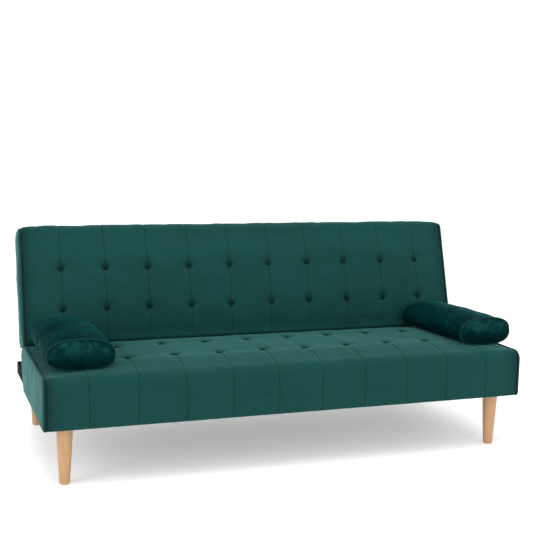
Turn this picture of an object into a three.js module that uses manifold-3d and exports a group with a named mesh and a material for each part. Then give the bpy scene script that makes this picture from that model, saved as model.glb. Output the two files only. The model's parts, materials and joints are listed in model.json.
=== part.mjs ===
// Click-clack futon sofa bed: a seat on a timber base with four round legs, a back that folds flat
// on two ratchet hinges, and two loose bolsters.
// Millimetres. +X is to the right seen from the front, the front faces -Y, +Z is up and the floor
// is z = 0. The origin is on the floor under the middle of the base.
import * as THREE from "three";
import { mergeVertices } from "three/addons/utils/BufferGeometryUtils.js";
import Module from "manifold-3d";

const wasm = await Module();
wasm.setup();

// ---- Driving sizes ------------------------------------------------------------------------------

const fit = 0.3; // gap kept between pieces that touch
const sofaWidth = 1800; // over the two side panels
const baseDepth = 850; // seat front to rear face of the base
const baseUnderside = 202; // floor to the bottom of the base rails
const seatHeight = 377; // floor to the top of the seat cushion

// Base frame
const backClearance = 5; // top of the base rails to the lower end of the back when it lies flat
const railThickness = 25;
const crossRailRear = 510; // seat front to the rear face of the rail across the middle
const cornerBlockSize = 62;
const cornerBlockDrop = 2; // top of a corner block below the top of the rails
const coverMargin = 3; // edge of the dust cover and rear cover to the outside of the frame
const dustCoverThickness = 1.2;
const rearCoverThickness = 1;

// Legs
const legTopRadius = 29;
const legFootRadius = 17.5;
const legFootChamfer = 3;
const legInset = 80; // side panel face to leg centre
const legClearance = 2; // round each leg where it passes the dust cover
const legBoltRadius = 4;
const legBoltDepth = 55; // in the leg
const legBoltCover = 10; // timber above the bolt in the corner block

// Seat
const slatCount = 4;
const slatWidth = 80;
const slatThickness = 14;
const slatEndMargin = 180; // side panel face to the middle of the outer slat
const sidePanelThickness = 10;
const frontBorderThickness = 19.5;
const crestRadius = 28; // front top edge of the seat
const heelDepth = 540; // seat front to the lower rear corner of a side panel
const hingePocketWidth = 38; // cut in the foam inside each side panel
const hingePocketMargin = 22; // from the pawl's pin to the front of the pocket
const armPocketMargin = 5; // in the back's foam, in front of the arm's head

// Back
const backLean = 16.6; // degrees behind upright when used as a sofa
const backLength = 452; // lower end to top edge, along the face
const backThicknessLow = 115;
const backThicknessTop = 100;
const backCrestRadius = 20;
const backLowerRadius = 12;
const backFoam = 57.7; // face of the cushion to the front of the back's timber frame
const backRailWidth = 40;
const rearPanelThickness = 3;
const backSlatCount = 3;
const backSlatThickness = 12;

// Hinge: the pivot is placed from the seat, and the back from the pivot
const pivotFromFront = 564;
const pivotUnderFace = 48; // pivot to the face of the back cushion
const bedStep = 5; // the back's face lies this much under the seat's top as a bed
const endFromPivot = 45; // pivot to the square lower end of the back
const seatBackGap = 2; // between the seat's rounded rear edge and the back's end
const hingePlateThickness = 4;
const hingeGap = 0.8; // between the fixed plate and the swinging arm
const hingeHeadRadius = 24;
const footFront = -50; // of the fixed plate's foot, from the pivot
const footRear = 38;
const footRise = 5; // foot above the bottom of the base rail
const footDrop = 1; // foot below the top of the base rail
const plateBoltInset = 18; // bolt to the foot's front or rear edge
const armHeadRadius = 21;
const toothTipRadius = 25;
const toothCount = 6;
const toothStart = 195; // degrees, measured in the back's own frame
const toothEnd = 305;
const strapFront = 12; // the arm's strap, from the pivot in the back's own frame
const strapRear = 46;
const strapLength = 200;
const strapFrontLow = 75; // where the strap's front edge meets the ratchet head
const strapRearLow = 62; // and its rear edge
const strapChamfer = 4;
const armBoltHeights = [120, 180];
const armBoltShift = 1; // bolts in front of the strap's middle
const pinRadius = 5;
const pinHeadRadius = 8;
const pinHeadHeight = 2.6;
const pawlPinRadius = 3;
const pawlPinHeadRadius = 6;
const boreGap = 0.3; // radial, round pins and bolts
const pawlFromPivot = new THREE.Vector2(-47, -22);
const pawlLugRadius = 12; // of the fixed plate round the pawl's pin
const pawlHeelRadius = 7.5;
const pawlTipRadius = 2.4;
const pawlTipGap = 0.6; // tip to the circle of the ratchet's teeth
const pawlTipAngle = 195; // degrees, where the tip points at the ratchet
const boltRadius = 4;
const boltHeadRadius = 7.5;
const boltHeadHeight = 4;
const boltHeadChamfer = 1.5;
const boltDepth = 14; // in the timber

// Rubber rests on the rear rail, under the back when it lies flat
const restRadius = 10;
const restSpacing = 1000;
const restGap = 0.5;
const restInset = 2; // behind the middle of the rear rail, towards the seat

// Bolsters: centre from the side panel face and from the seat front, and the turn about Z
const bolsterWidth = 240;
const bolsterHeight = 112;
const bolsterLength = 430;
const bolsterEdge = 10;
const bolsterLift = 0.5;
const bolsters = [
  { name: "bolster_left", side: -1, fromEnd: 138, fromFront: 287, turn: 0 },
  { name: "bolster_right", side: 1, fromEnd: 128, fromFront: 312, turn: 3 },
];

// ---- Sizes worked out from the driving ones -----------------------------------------------------

const halfWidth = sofaWidth / 2;
const panelInside = halfWidth - sidePanelThickness; // inner face of a side panel
const foamHalfWidth = panelInside - fit;
const railOutside = panelInside - 0.5; // outer face of the end rails and the back's end rails
const railInside = railOutside - railThickness;
const pivotHeight = seatHeight - bedStep - pivotUnderFace;
const railTop = pivotHeight + pivotUnderFace - backThicknessLow - backClearance;
const railHeight = railTop - baseUnderside;
const legBoltRise = railHeight - legBoltCover;
const plateOutside = railInside - 0.5; // the fixed hinge plate stands against the end rail
const plateInside = plateOutside - hingePlateThickness;
const footLow = baseUnderside + footRise - pivotHeight; // of the fixed plate's foot, from the pivot
const footTop = railTop - footDrop - pivotHeight;
const armInside = plateOutside + hingeGap;
const armOutside = armInside + hingePlateThickness;
const backEndRailInside = armOutside + fit;
const backEndRailThickness = railOutside - backEndRailInside;
const slatTop = railTop + fit + slatThickness;
const tailRadius = endFromPivot - seatBackGap;
const legTop = baseUnderside - fit;
const frontLegY = frontBorderThickness + fit + railThickness + legTopRadius + fit;
const rearLegY = baseDepth - railThickness - legTopRadius - fit;
const pocketInside = foamHalfWidth - hingePocketWidth;
const pocketFront = pivotFromFront + pawlFromPivot.x - hingePocketMargin;
const armPocketFront = -(armHeadRadius + armPocketMargin);
const backTaper = (backThicknessLow - backThicknessTop) / backLength;
const backTop = endFromPivot + backLength; // along the back, from the pivot
const backFace = -pivotUnderFace;
const frameFront = backFace + backFoam + fit;

const degrees = THREE.MathUtils.degToRad;
const point = (x, y) => new THREE.Vector2(x, y);

// ---- Materials ----------------------------------------------------------------------------------

const finish = (color, roughness, metalness = 0) =>
  new THREE.MeshStandardMaterial({ color, roughness, metalness });

const velvet = finish(0x1f524e, 0.85);
const bolsterVelvet = finish(0x0c3a3b, 0.8);
const beech = finish(0xcda578, 0.5);
const timber = finish(0xb99a6b, 0.75);
const blackFabric = finish(0x231e23, 0.95);
const zincSteel = finish(0x8d9094, 0.4, 0.9);
const rubber = finish(0x1a1a1a, 0.9);

// ---- Shapes -------------------------------------------------------------------------------------

const arc = (centre, radius, from, to, steps) =>
  Array.from({ length: steps + 1 }, (_, i) => {
    const angle = degrees(from + ((to - from) * i) / steps);
    return point(centre.x + radius * Math.cos(angle), centre.y + radius * Math.sin(angle));
  });

const hole = (centre, radius) => new THREE.Path(arc(centre, radius, 0, 345, 23));

// A side-view outline of (y, z) points, given its thickness along +X from x = 0.
function plate(outline, thickness, holes = []) {
  const shape = new THREE.Shape(outline);
  shape.holes.push(...holes);
  const geometry = new THREE.ExtrudeGeometry(shape, { depth: thickness, bevelEnabled: false });
  const yzx = new THREE.Matrix4().makeBasis(
    new THREE.Vector3(0, 1, 0),
    new THREE.Vector3(0, 0, 1),
    new THREE.Vector3(1, 0, 0),
  );
  return geometry.applyMatrix4(yzx);
}

// A box from its lowest to its highest corner.
function block(low, high) {
  const size = high.map((value, axis) => value - low[axis]);
  const centre = high.map((value, axis) => (value + low[axis]) / 2);
  return new THREE.BoxGeometry(...size).translate(...centre);
}

// A solid of revolution whose axis runs along +Z from the profile's (radius, height) points.
const turned = (profile, segments) =>
  new THREE.LatheGeometry(profile, segments).rotateX(Math.PI / 2);

// The same along X, outwards on the given side of the sofa.
const turnedAcross = (profile, segments, side) =>
  turned(profile, segments).rotateY((side * Math.PI) / 2);

const rodAcross = (radius, length) =>
  new THREE.CylinderGeometry(radius, radius, length, 20).rotateZ(Math.PI / 2);

function toSolid(geometry) {
  const bare = new THREE.BufferGeometry();
  const loose = geometry.index ? geometry.toNonIndexed() : geometry;
  bare.setAttribute("position", loose.getAttribute("position").clone());
  const merged = mergeVertices(bare, 1e-4);
  return new wasm.Manifold(
    new wasm.Mesh({
      numProp: 3,
      vertProperties: merged.getAttribute("position").array,
      triVerts: new Uint32Array(merged.index.array),
    }),
  );
}

function cut(geometry, ...tools) {
  const solid = tools.reduce((body, tool) => body.subtract(toSolid(tool)), toSolid(geometry));
  const { vertProperties, triVerts } = solid.getMesh();
  const result = new THREE.BufferGeometry();
  result.setAttribute("position", new THREE.Float32BufferAttribute(vertProperties, 3));
  result.setIndex(Array.from(triVerts));
  return result;
}

function add(group, name, geometry, material, x = 0, y = 0, z = 0) {
  const mesh = new THREE.Mesh(geometry, material);
  mesh.name = name;
  mesh.position.set(x, y, z);
  group.add(mesh);
  return mesh;
}

const sides = [
  { label: "left", side: -1 },
  { label: "right", side: 1 },
];

// Start of a piece that runs from |x| = inner to |x| = outer on one side.
const startAcross = (side, inner, outer) => (side > 0 ? inner : -outer);

// ---- Base frame ---------------------------------------------------------------------------------

function addBaseFrame(seat) {
  const low = baseUnderside;
  const railFront = frontBorderThickness + fit;
  const rearRailFront = baseDepth - railThickness;
  const across = (y0, y1, halfLength) => block([-halfLength, y0, low], [halfLength, y1, railTop]);
  const frontRailRear = railFront + railThickness;
  const crossRailFront = crossRailRear - railThickness;
  add(seat, "base_rail_front", across(railFront, frontRailRear, railOutside), timber);
  add(seat, "base_rail_rear", across(rearRailFront, baseDepth, railOutside), timber);
  add(seat, "base_rail_cross", across(crossRailFront, crossRailRear, railInside - fit), timber);

  const endRailFront = frontRailRear + fit;
  const endRailRear = rearRailFront - fit;
  for (const { label, side } of sides) {
    const rail = block([0, endRailFront, low], [railThickness, endRailRear, railTop]);
    const x = startAcross(side, railInside, railOutside);
    const bores = plateBoltPoints().map(({ x: y, y: z }) =>
      rodAcross(boltRadius + boreGap, 2 * (boltDepth + boreGap)).translate(
        side > 0 ? 0 : railThickness,
        y,
        z,
      ),
    );
    add(seat, `base_rail_${label}`, cut(rail, ...bores), timber, x);
  }

  const blockOutside = railInside - fit;
  for (const { label, side } of sides) {
    for (const [end, legY] of [["front", frontLegY], ["rear", rearLegY]]) {
      const legX = side * (halfWidth - legInset);
      const toward = end === "front" ? 1 : -1;
      const near = end === "front" ? endRailFront : endRailRear;
      const far = near + toward * cornerBlockSize;
      const blockStart = startAcross(side, blockOutside - cornerBlockSize, blockOutside);
      const body = block(
        [blockStart, Math.min(near, far), low],
        [blockStart + cornerBlockSize, Math.max(near, far), railTop - cornerBlockDrop],
      );
      const bore = new THREE.CylinderGeometry(
        legBoltRadius + boreGap,
        legBoltRadius + boreGap,
        2 * railHeight,
        20,
      ).rotateX(Math.PI / 2).translate(legX, legY, (low + railTop) / 2);
      add(seat, `corner_block_${end}_${label}`, cut(body, bore), timber);
      addLeg(seat, `${end}_${label}`, legX, legY);
    }
  }
}

function addLeg(seat, place, x, y) {
  const boreRadius = legBoltRadius + boreGap;
  const boreBottom = legTop - legBoltDepth - boreGap;
  const leg = turned(
    [
      point(0, 0),
      point(legFootRadius - legFootChamfer, 0),
      point(legFootRadius, legFootChamfer),
      point(legTopRadius, legTop),
      point(boreRadius, legTop),
      point(boreRadius, boreBottom),
      point(0, boreBottom),
    ],
    32,
  );
  add(seat, `leg_${place}`, leg, beech, x, y);
  const bolt = turned(
    [
      point(0, legTop - legBoltDepth),
      point(legBoltRadius, legTop - legBoltDepth),
      point(legBoltRadius, legTop + legBoltRise),
      point(0, legTop + legBoltRise),
    ],
    16,
  );
  add(seat, `leg_bolt_${place}`, bolt, zincSteel, x, y);
}

function addCovers(seat) {
  const outline = new THREE.Shape([
    point(-railOutside + coverMargin, frontBorderThickness + coverMargin),
    point(railOutside - coverMargin, frontBorderThickness + coverMargin),
    point(railOutside - coverMargin, baseDepth - coverMargin),
    point(-railOutside + coverMargin, baseDepth - coverMargin),
  ]);
  for (const x of [legInset - halfWidth, halfWidth - legInset])
    for (const y of [frontLegY, rearLegY])
      outline.holes.push(hole(point(x, y), legTopRadius + legClearance));
  const dustCover = new THREE.ExtrudeGeometry(outline, {
    depth: dustCoverThickness,
    bevelEnabled: false,
  });
  const dustCoverLow = baseUnderside - fit - dustCoverThickness;
  add(seat, "dust_cover", dustCover, blackFabric, 0, 0, dustCoverLow);

  const sheetLow = railTop + fit;
  const sheet = block(
    [-plateInside + coverMargin, crossRailRear + 2 * coverMargin, sheetLow],
    [plateInside - coverMargin, baseDepth - coverMargin, sheetLow + rearCoverThickness],
  );
  add(seat, "base_rear_cover", sheet, blackFabric);

  const restY = baseDepth - railThickness / 2 - restInset;
  const restLow = sheetLow + rearCoverThickness + fit;
  const alongBack = restY - pivotFromFront;
  const backUnderside = pivotHeight - rearFace(alongBack);
  for (const { label, side } of sides) {
    const height = backUnderside - restGap - restLow;
    const rest = new THREE.CylinderGeometry(restRadius, restRadius, height, 24)
      .rotateX(Math.PI / 2)
      .translate(0, 0, height / 2);
    add(seat, `back_rest_${label}`, rest, rubber, (side * restSpacing) / 2, restY, restLow);
  }
}

// ---- Seat ---------------------------------------------------------------------------------------

// Side view of the seat: upright front, flat top, a slope that the back's end stands on, a rear
// edge that is round about the hinge pivot, and a heel that runs forward to the underside.
function seatOutline(underside) {
  const pivot = point(pivotFromFront, pivotHeight);
  const slope = 90 - backLean;
  const tail = arc(pivot, tailRadius, slope, 0, 6);
  const rise = (seatHeight - tail[0].y) / Math.cos(degrees(slope));
  const apexY = tail[0].x - rise * Math.sin(degrees(slope));
  const tailEnd = tail[tail.length - 1];
  const heelShare = (underside - baseUnderside) / (tailEnd.y - baseUnderside);
  const heelY = heelDepth + heelShare * (tailEnd.x - heelDepth);
  const crest = arc(point(crestRadius, seatHeight - crestRadius), crestRadius, 180, 90, 5);
  return [point(0, underside), ...crest, point(apexY, seatHeight), ...tail, point(heelY, underside)];
}

function addSeat(seat) {
  const slatLength = crossRailRear - frontBorderThickness - 2 * fit;
  const slatSpan = sofaWidth - 2 * slatEndMargin;
  for (let i = 0; i < slatCount; i++) {
    const x = -slatSpan / 2 + (slatSpan * i) / (slatCount - 1);
    const slat = block([-slatWidth / 2, 0, 0], [slatWidth / 2, slatLength, slatThickness]);
    add(seat, `seat_slat_${i + 1}`, slat, timber, x, frontBorderThickness + fit, railTop + fit);
  }

  const foam = plate(seatOutline(slatTop + fit), 2 * foamHalfWidth).translate(-foamHalfWidth, 0, 0);
  const pockets = sides.map(({ side }) =>
    block(
      [startAcross(side, pocketInside, halfWidth), pocketFront, 0],
      [startAcross(side, pocketInside, halfWidth) + halfWidth - pocketInside, baseDepth, seatHeight * 2],
    ),
  );
  add(seat, "seat_cushion", cut(foam, ...pockets), velvet);

  const border = block(
    [-foamHalfWidth, 0, baseUnderside],
    [foamHalfWidth, frontBorderThickness, slatTop],
  );
  add(seat, "seat_front_border", border, velvet);

  for (const { label, side } of sides) {
    const panel = plate(seatOutline(baseUnderside), sidePanelThickness);
    add(seat, `seat_side_panel_${label}`, panel, velvet, startAcross(side, panelInside, halfWidth));
  }
}

// ---- Hinges -------------------------------------------------------------------------------------

function plateBoltPoints() {
  const z = pivotHeight + (footLow + footTop) / 2;
  return [footFront + plateBoltInset, footRear - plateBoltInset].map((y) => point(pivotFromFront + y, z));
}

const armBoltPoints = () => armBoltHeights.map((z) => point((strapFront + strapRear) / 2 - armBoltShift, z));

function rivet(radius, headRadius, headHeight, grip) {
  return [
    point(0, 0),
    point(headRadius, 0),
    point(headRadius, headHeight),
    point(radius, headHeight),
    point(radius, headHeight + grip),
    point(headRadius, headHeight + grip),
    point(headRadius, 2 * headHeight + grip),
    point(0, 2 * headHeight + grip),
  ];
}

const panHeadBolt = [
  point(0, 0),
  point(boltHeadRadius - boltHeadChamfer, 0),
  point(boltHeadRadius, boltHeadChamfer),
  point(boltHeadRadius, boltHeadHeight),
  point(boltRadius, boltHeadHeight),
  point(boltRadius, boltHeadHeight + hingePlateThickness + 2 * fit + boltDepth),
  point(0, boltHeadHeight + hingePlateThickness + 2 * fit + boltDepth),
];

function addFixedHinge(seat, label, side) {
  const pivot = point(0, 0);
  const outline = [
    point(footFront, footLow),
    point(footRear, footLow),
    point(footRear, footTop),
    ...arc(pivot, hingeHeadRadius, -20, 115, 9),
    ...arc(pawlFromPivot, pawlLugRadius, 110, 250, 7),
    point(footFront, footTop),
  ];
  const boltHoles = plateBoltPoints().map(({ x, y }) =>
    hole(point(x - pivotFromFront, y - pivotHeight), boltRadius + boreGap),
  );
  const body = plate(outline, hingePlateThickness, [
    hole(pivot, pinRadius + boreGap),
    hole(pawlFromPivot, pawlPinRadius + boreGap),
    ...boltHoles,
  ]);
  const x = startAcross(side, plateInside, plateOutside);
  add(seat, `hinge_plate_${label}`, body, zincSteel, x, pivotFromFront, pivotHeight);

  const grip = armOutside - plateInside + 2 * fit;
  const pin = turnedAcross(rivet(pinRadius, pinHeadRadius, pinHeadHeight, grip), 24, side);
  const pinX = side * (plateInside - fit - pinHeadHeight);
  add(seat, `hinge_pin_${label}`, pin, zincSteel, pinX, pivotFromFront, pivotHeight);

  const pawlPin = turnedAcross(rivet(pawlPinRadius, pawlPinHeadRadius, pinHeadHeight, grip), 20, side);
  const pawlY = pivotFromFront + pawlFromPivot.x;
  const pawlZ = pivotHeight + pawlFromPivot.y;
  add(seat, `pawl_pin_${label}`, pawlPin, zincSteel, pinX, pawlY, pawlZ);

  plateBoltPoints().forEach(({ x: y, y: z }, i) => {
    const bolt = turnedAcross(panHeadBolt, 16, side);
    const boltX = side * (plateInside - fit - boltHeadHeight);
    add(seat, `hinge_plate_bolt_${label}_${i + 1}`, bolt, zincSteel, boltX, y, z);
  });

  const tip = point(Math.cos(degrees(pawlTipAngle)), Math.sin(degrees(pawlTipAngle)))
    .multiplyScalar(toothTipRadius + pawlTipGap + pawlTipRadius)
    .sub(pawlFromPivot);
  const spread = (Math.acos((pawlHeelRadius - pawlTipRadius) / tip.length()) * 180) / Math.PI;
  const pawlOutline = [
    ...arc(point(0, 0), pawlHeelRadius, spread, 360 - spread, 9),
    ...arc(point(tip.length(), 0), pawlTipRadius, -spread, spread, 5),
  ];
  const pawl = plate(pawlOutline, hingePlateThickness, [
    hole(point(0, 0), pawlPinRadius + boreGap),
  ]).rotateX(tip.angle());
  const armX = startAcross(side, armInside, armOutside);
  add(seat, `pawl_${label}`, pawl, zincSteel, armX, pawlY, pawlZ);
}

// The swinging arm in the back's own side view: a ratchet head round the pivot and a strap that
// runs up beside the back's end rail.
function armOutline() {
  const pivot = point(0, 0);
  const pitch = (toothEnd - toothStart) / toothCount;
  const teeth = Array.from({ length: toothCount }, (_, i) => {
    const root = toothStart + i * pitch;
    return [
      ...arc(pivot, armHeadRadius, root, root, 1).slice(0, 1),
      ...arc(pivot, toothTipRadius, root + pitch * 0.25, root + pitch * 0.4, 1),
    ];
  }).flat();
  return [
    point(strapRear, strapRearLow),
    point(strapRear, strapLength - strapChamfer),
    point(strapRear - strapChamfer, strapLength),
    point(strapFront + strapChamfer, strapLength),
    point(strapFront, strapLength - strapChamfer),
    point(strapFront, strapFrontLow),
    ...arc(pivot, armHeadRadius, 140, toothStart - 5, 4),
    ...teeth,
    ...arc(pivot, armHeadRadius, toothEnd, 340, 3),
  ];
}

function addArm(back, label, side) {
  const arm = plate(armOutline(), hingePlateThickness, [
    hole(point(0, 0), pinRadius + boreGap),
    ...armBoltPoints().map((centre) => hole(centre, boltRadius + boreGap)),
  ]);
  add(back, `hinge_arm_${label}`, arm, zincSteel, startAcross(side, armInside, armOutside));
  armBoltPoints().forEach(({ x: y, y: z }, i) => {
    const bolt = turnedAcross(panHeadBolt, 16, side);
    const boltX = side * (armInside - fit - boltHeadHeight);
    add(back, `hinge_arm_bolt_${label}_${i + 1}`, bolt, zincSteel, boltX, y, z);
  });
}

// ---- Back ---------------------------------------------------------------------------------------

// Rear face of the back at a height along it, both from the pivot.
function rearFace(along) {
  return backFace + backThicknessLow - backTaper * (along - endFromPivot);
}

function addBackFrame(back) {
  const panelGap = rearPanelThickness + fit;
  const railRear = (along) => rearFace(along) - panelGap;
  for (const { label, side } of sides) {
    const outline = [
      point(frameFront, endFromPivot),
      point(railRear(endFromPivot), endFromPivot),
      point(railRear(backTop), backTop),
      point(frameFront, backTop),
    ];
    const bores = armBoltPoints().map(({ x: y, y: z }) =>
      rodAcross(boltRadius + boreGap, 2 * (boltDepth + boreGap)).translate(
        side > 0 ? 0 : backEndRailThickness,
        y,
        z,
      ),
    );
    const rail = cut(plate(outline, backEndRailThickness), ...bores);
    const x = startAcross(side, backEndRailInside, railOutside);
    add(back, `back_rail_${label}`, rail, timber, x);
  }
  const halfRail = plateOutside - fit;
  const rail = (low, high) =>
    block([-halfRail, frameFront, low], [halfRail, railRear(high) - fit, high]);
  const lowRailTop = endFromPivot + backRailWidth;
  const topRailBottom = backTop - backRailWidth;
  add(back, "back_rail_bottom", rail(endFromPivot, lowRailTop), timber);
  add(back, "back_rail_top", rail(topRailBottom, backTop), timber);
  const slatSpan = sofaWidth / 2;
  for (let i = 0; i < backSlatCount; i++) {
    const x = -slatSpan / 2 + (slatSpan * i) / (backSlatCount - 1);
    const slat = block(
      [-slatWidth / 2, frameFront, lowRailTop + fit],
      [slatWidth / 2, frameFront + backSlatThickness, topRailBottom - fit],
    );
    add(back, `back_slat_${i + 1}`, slat, timber, x);
  }
}

function addBackUpholstery(back) {
  const foamRear = backFace + backFoam;
  const crest = arc(
    point(backFace + backCrestRadius, backTop - backCrestRadius),
    backCrestRadius,
    90,
    180,
    5,
  );
  const lowerEdge = arc(
    point(backFace + backLowerRadius, endFromPivot + backLowerRadius),
    backLowerRadius,
    180,
    270,
    4,
  );
  const foamOutline = [
    ...lowerEdge,
    point(foamRear, endFromPivot),
    point(foamRear, backTop),
    ...crest,
  ];
  const foam = plate(foamOutline, 2 * foamHalfWidth).translate(-foamHalfWidth, 0, 0);
  const armPockets = sides.map(({ side }) => {
    const start = startAcross(side, pocketInside, halfWidth);
    return block(
      [start, armPocketFront, 0],
      [start + halfWidth - pocketInside, backThicknessLow, endFromPivot + backRailWidth],
    );
  });
  add(back, "back_cushion", cut(foam, ...armPockets), velvet);

  const panelOutline = [
    ...lowerEdge,
    point(rearFace(endFromPivot), endFromPivot),
    point(rearFace(backTop), backTop),
    ...crest,
  ];
  for (const { label, side } of sides) {
    const panel = plate(panelOutline, sidePanelThickness);
    const x = startAcross(side, panelInside, halfWidth);
    add(back, `back_side_panel_${label}`, panel, velvet, x);
  }

  const rearPanel = plate(
    [
      point(rearFace(endFromPivot) - rearPanelThickness, endFromPivot),
      point(rearFace(endFromPivot), endFromPivot),
      point(rearFace(backTop), backTop),
      point(rearFace(backTop) - rearPanelThickness, backTop),
    ],
    2 * foamHalfWidth,
  );
  add(back, "back_rear_panel", rearPanel, velvet, -foamHalfWidth);
}

// ---- Bolsters -----------------------------------------------------------------------------------

function bolsterGeometry() {
  const steps = 28;
  const power = (value, exponent) => Math.sign(value) * Math.abs(value) ** exponent;
  const section = Array.from({ length: steps }, (_, i) => {
    const angle = (2 * Math.PI * i) / steps;
    const flatness = Math.sin(angle) < 0 ? 0.6 : 0.85; // flatter underneath than on top
    return point(
      (bolsterWidth / 2) * power(Math.cos(angle), 0.85),
      (bolsterHeight / 2) * power(Math.sin(angle), flatness),
    );
  });
  const depth = bolsterLength - 2 * bolsterEdge;
  return new THREE.ExtrudeGeometry(new THREE.Shape(section), {
    depth,
    bevelThickness: bolsterEdge,
    bevelSize: bolsterEdge,
    bevelOffset: -bolsterEdge,
    bevelSegments: 2,
  })
    .translate(0, 0, -depth / 2)
    .rotateX(Math.PI / 2);
}

function addBolsters(seat) {
  for (const { name, side, fromEnd, fromFront, turn } of bolsters) {
    const z = seatHeight + bolsterLift + bolsterHeight / 2;
    const x = side * (halfWidth - fromEnd);
    const bolster = add(seat, name, bolsterGeometry(), bolsterVelvet, x, fromFront, z);
    bolster.rotation.z = degrees(turn);
  }
}

// ---- The whole sofa -----------------------------------------------------------------------------

const seat = new THREE.Group();
seat.position.y = -baseDepth / 2;
addBaseFrame(seat);
addCovers(seat);
addSeat(seat);
addBolsters(seat);

const back = new THREE.Group();
back.position.set(0, pivotFromFront - baseDepth / 2, pivotHeight);
back.rotation.x = -degrees(backLean);
addBackFrame(back);
addBackUpholstery(back);

for (const { label, side } of sides) {
  addFixedHinge(seat, label, side);
  addArm(back, label, side);
}

const sofa = new THREE.Group();
sofa.add(seat, back);

export default sofa;
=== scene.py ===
"""Looks of a click-clack sofa bed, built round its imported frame.

Metres, in the frame's own axes: +X to the right seen from the front, the front faces -Y, +Z up.
"""

import json
import math

import bmesh
import bpy
import numpy as np
from mathutils import Matrix, Vector
from mathutils.bvhtree import BVHTree


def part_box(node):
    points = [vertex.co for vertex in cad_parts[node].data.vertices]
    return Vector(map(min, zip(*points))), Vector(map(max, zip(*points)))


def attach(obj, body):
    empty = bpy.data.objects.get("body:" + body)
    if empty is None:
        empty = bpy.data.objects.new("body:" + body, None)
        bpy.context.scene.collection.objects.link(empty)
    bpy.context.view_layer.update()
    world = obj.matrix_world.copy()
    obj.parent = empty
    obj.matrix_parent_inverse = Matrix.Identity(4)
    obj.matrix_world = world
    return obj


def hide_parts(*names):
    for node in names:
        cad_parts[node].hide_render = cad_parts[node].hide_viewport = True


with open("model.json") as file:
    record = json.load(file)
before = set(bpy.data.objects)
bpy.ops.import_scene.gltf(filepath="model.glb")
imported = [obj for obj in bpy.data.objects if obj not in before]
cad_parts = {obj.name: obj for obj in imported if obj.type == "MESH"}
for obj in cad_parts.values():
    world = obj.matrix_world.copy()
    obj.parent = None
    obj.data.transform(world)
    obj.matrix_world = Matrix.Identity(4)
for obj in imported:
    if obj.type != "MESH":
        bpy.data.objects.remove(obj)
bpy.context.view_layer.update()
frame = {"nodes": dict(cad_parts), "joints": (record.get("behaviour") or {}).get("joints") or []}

bl_info = {
    "name": "Click-clack sofa bed",
    "version": (1, 0, 0),
    "blender": (4, 5, 0),
    "location": "3D View > Sidebar > Sofa bed",
    "description": "Builds the covers, buttons, bolsters and legs of a click-clack sofa bed",
    "category": "Add Mesh",
}

# ---- Sizes read from the frame -------------------------------------------------------

BORDER_LOW, BORDER_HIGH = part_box("seat_front_border")
CUSHION_LOW, CUSHION_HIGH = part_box("seat_cushion")
SIDE_LOW, SIDE_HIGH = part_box("seat_side_panel_right")
REST_LOW, REST_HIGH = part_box("back_rest_right")
REST_PLACE = (REST_LOW.x + REST_HIGH.x) / 2
FRONT = BORDER_LOW.y
UNDERSIDE = BORDER_LOW.z
SEAT_TOP = CUSHION_HIGH.z
FOAM_LOW = CUSHION_LOW.z
BORDER_REAR = BORDER_HIGH.y - FRONT
HALF_LENGTH = CUSHION_HIGH.x
PANEL_INSIDE = SIDE_LOW.x
PANEL_OUTSIDE = SIDE_HIGH.x
PIVOT = Vector(next(j for j in frame["joints"] if j["name"] == "back_fold")["pos_m"])
PIVOT_FROM_FRONT = PIVOT.y - FRONT

# The same sizes as the frame's own source
LEAN = math.radians(16.6)
SLOPE_TOP = 0.537  # seat front to where the slope under the back begins
HEEL = 0.540  # seat front to the lower rear corner of a side panel
TAIL_RADIUS = 0.043  # of the seat's rear end, round the pivot
TAIL = PIVOT_FROM_FRONT + TAIL_RADIUS
TAIL_TOP = PIVOT.z + TAIL_RADIUS * math.tan((math.pi / 2 - LEAN) / 2)
BACK_FACE = -0.048
BACK_LOW = 0.045
BACK_TOP = 0.497
BACK_REAR_LOW = 0.067
BACK_REAR_TOP = 0.052
BACK_LIP = 0.0026  # how far the back's cover stands over its top
FOAM_REAR = 0.0097
END_DROP = 0.006  # how much lower the back's top is at its piped ends

SEAM_COUNT = 10
SEAT_ROWS = (0.180, 0.367)  # seat front to each row of buttons
BACK_ROWS = (0.177, 0.333)  # pivot to each row of buttons, along the back
BOLSTERS = ("bolster_left", "bolster_right")
BOLSTER_HALF = Vector((0.120, 0.215, 0.056))
BOLSTER_DOME = 0.010  # how far a bolster's end swells out past its seam
BUTTON_SUNK = 0.0022  # of a button into the cover round it
BUTTON_DOME = 0.62  # height of a button's face over its rim plane, in button radii
PRESS_GAP = 0.0014  # between a bolster and the cover pressed in under it
PRESS_REACH = 0.004
SIM_FRAMES = 20

# Sewn lines and buttons
PANEL_PUFF = 0.0018  # height of the padding between two sewn lines
THREAD_WIDTH = 0.0013
SEAT_SWAY, BACK_SWAY = 0.7, 2.9  # seeds of how the sewn lines stray
COVER_EDGE = math.radians(50)  # a cover's edges sharper than this are not smoothed
HOLLOW_DEPTH, HOLLOW_REACH = 0.0009, 0.010  # of the cover on both sides of a sewn line
LIP_HEIGHT, LIP_WIDTH = 0.0007, 0.0020  # of the small fold beside a sewn line
DIMPLE_REACH = 0.0175
CREASE_DEPTH, CREASE_WIDTH = 0.0013, 0.0030  # of the creases between buttons

# Camera
CAMERA_PLACE = (-1.332, -3.712, 1.205)
CAMERA_ANGLES = (19.93, 7.74, 1.20)  # yaw, pitch and roll, in degrees
CAMERA_LENS = 69.5

# ---- Settings ------------------------------------------------------------------------


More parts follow.
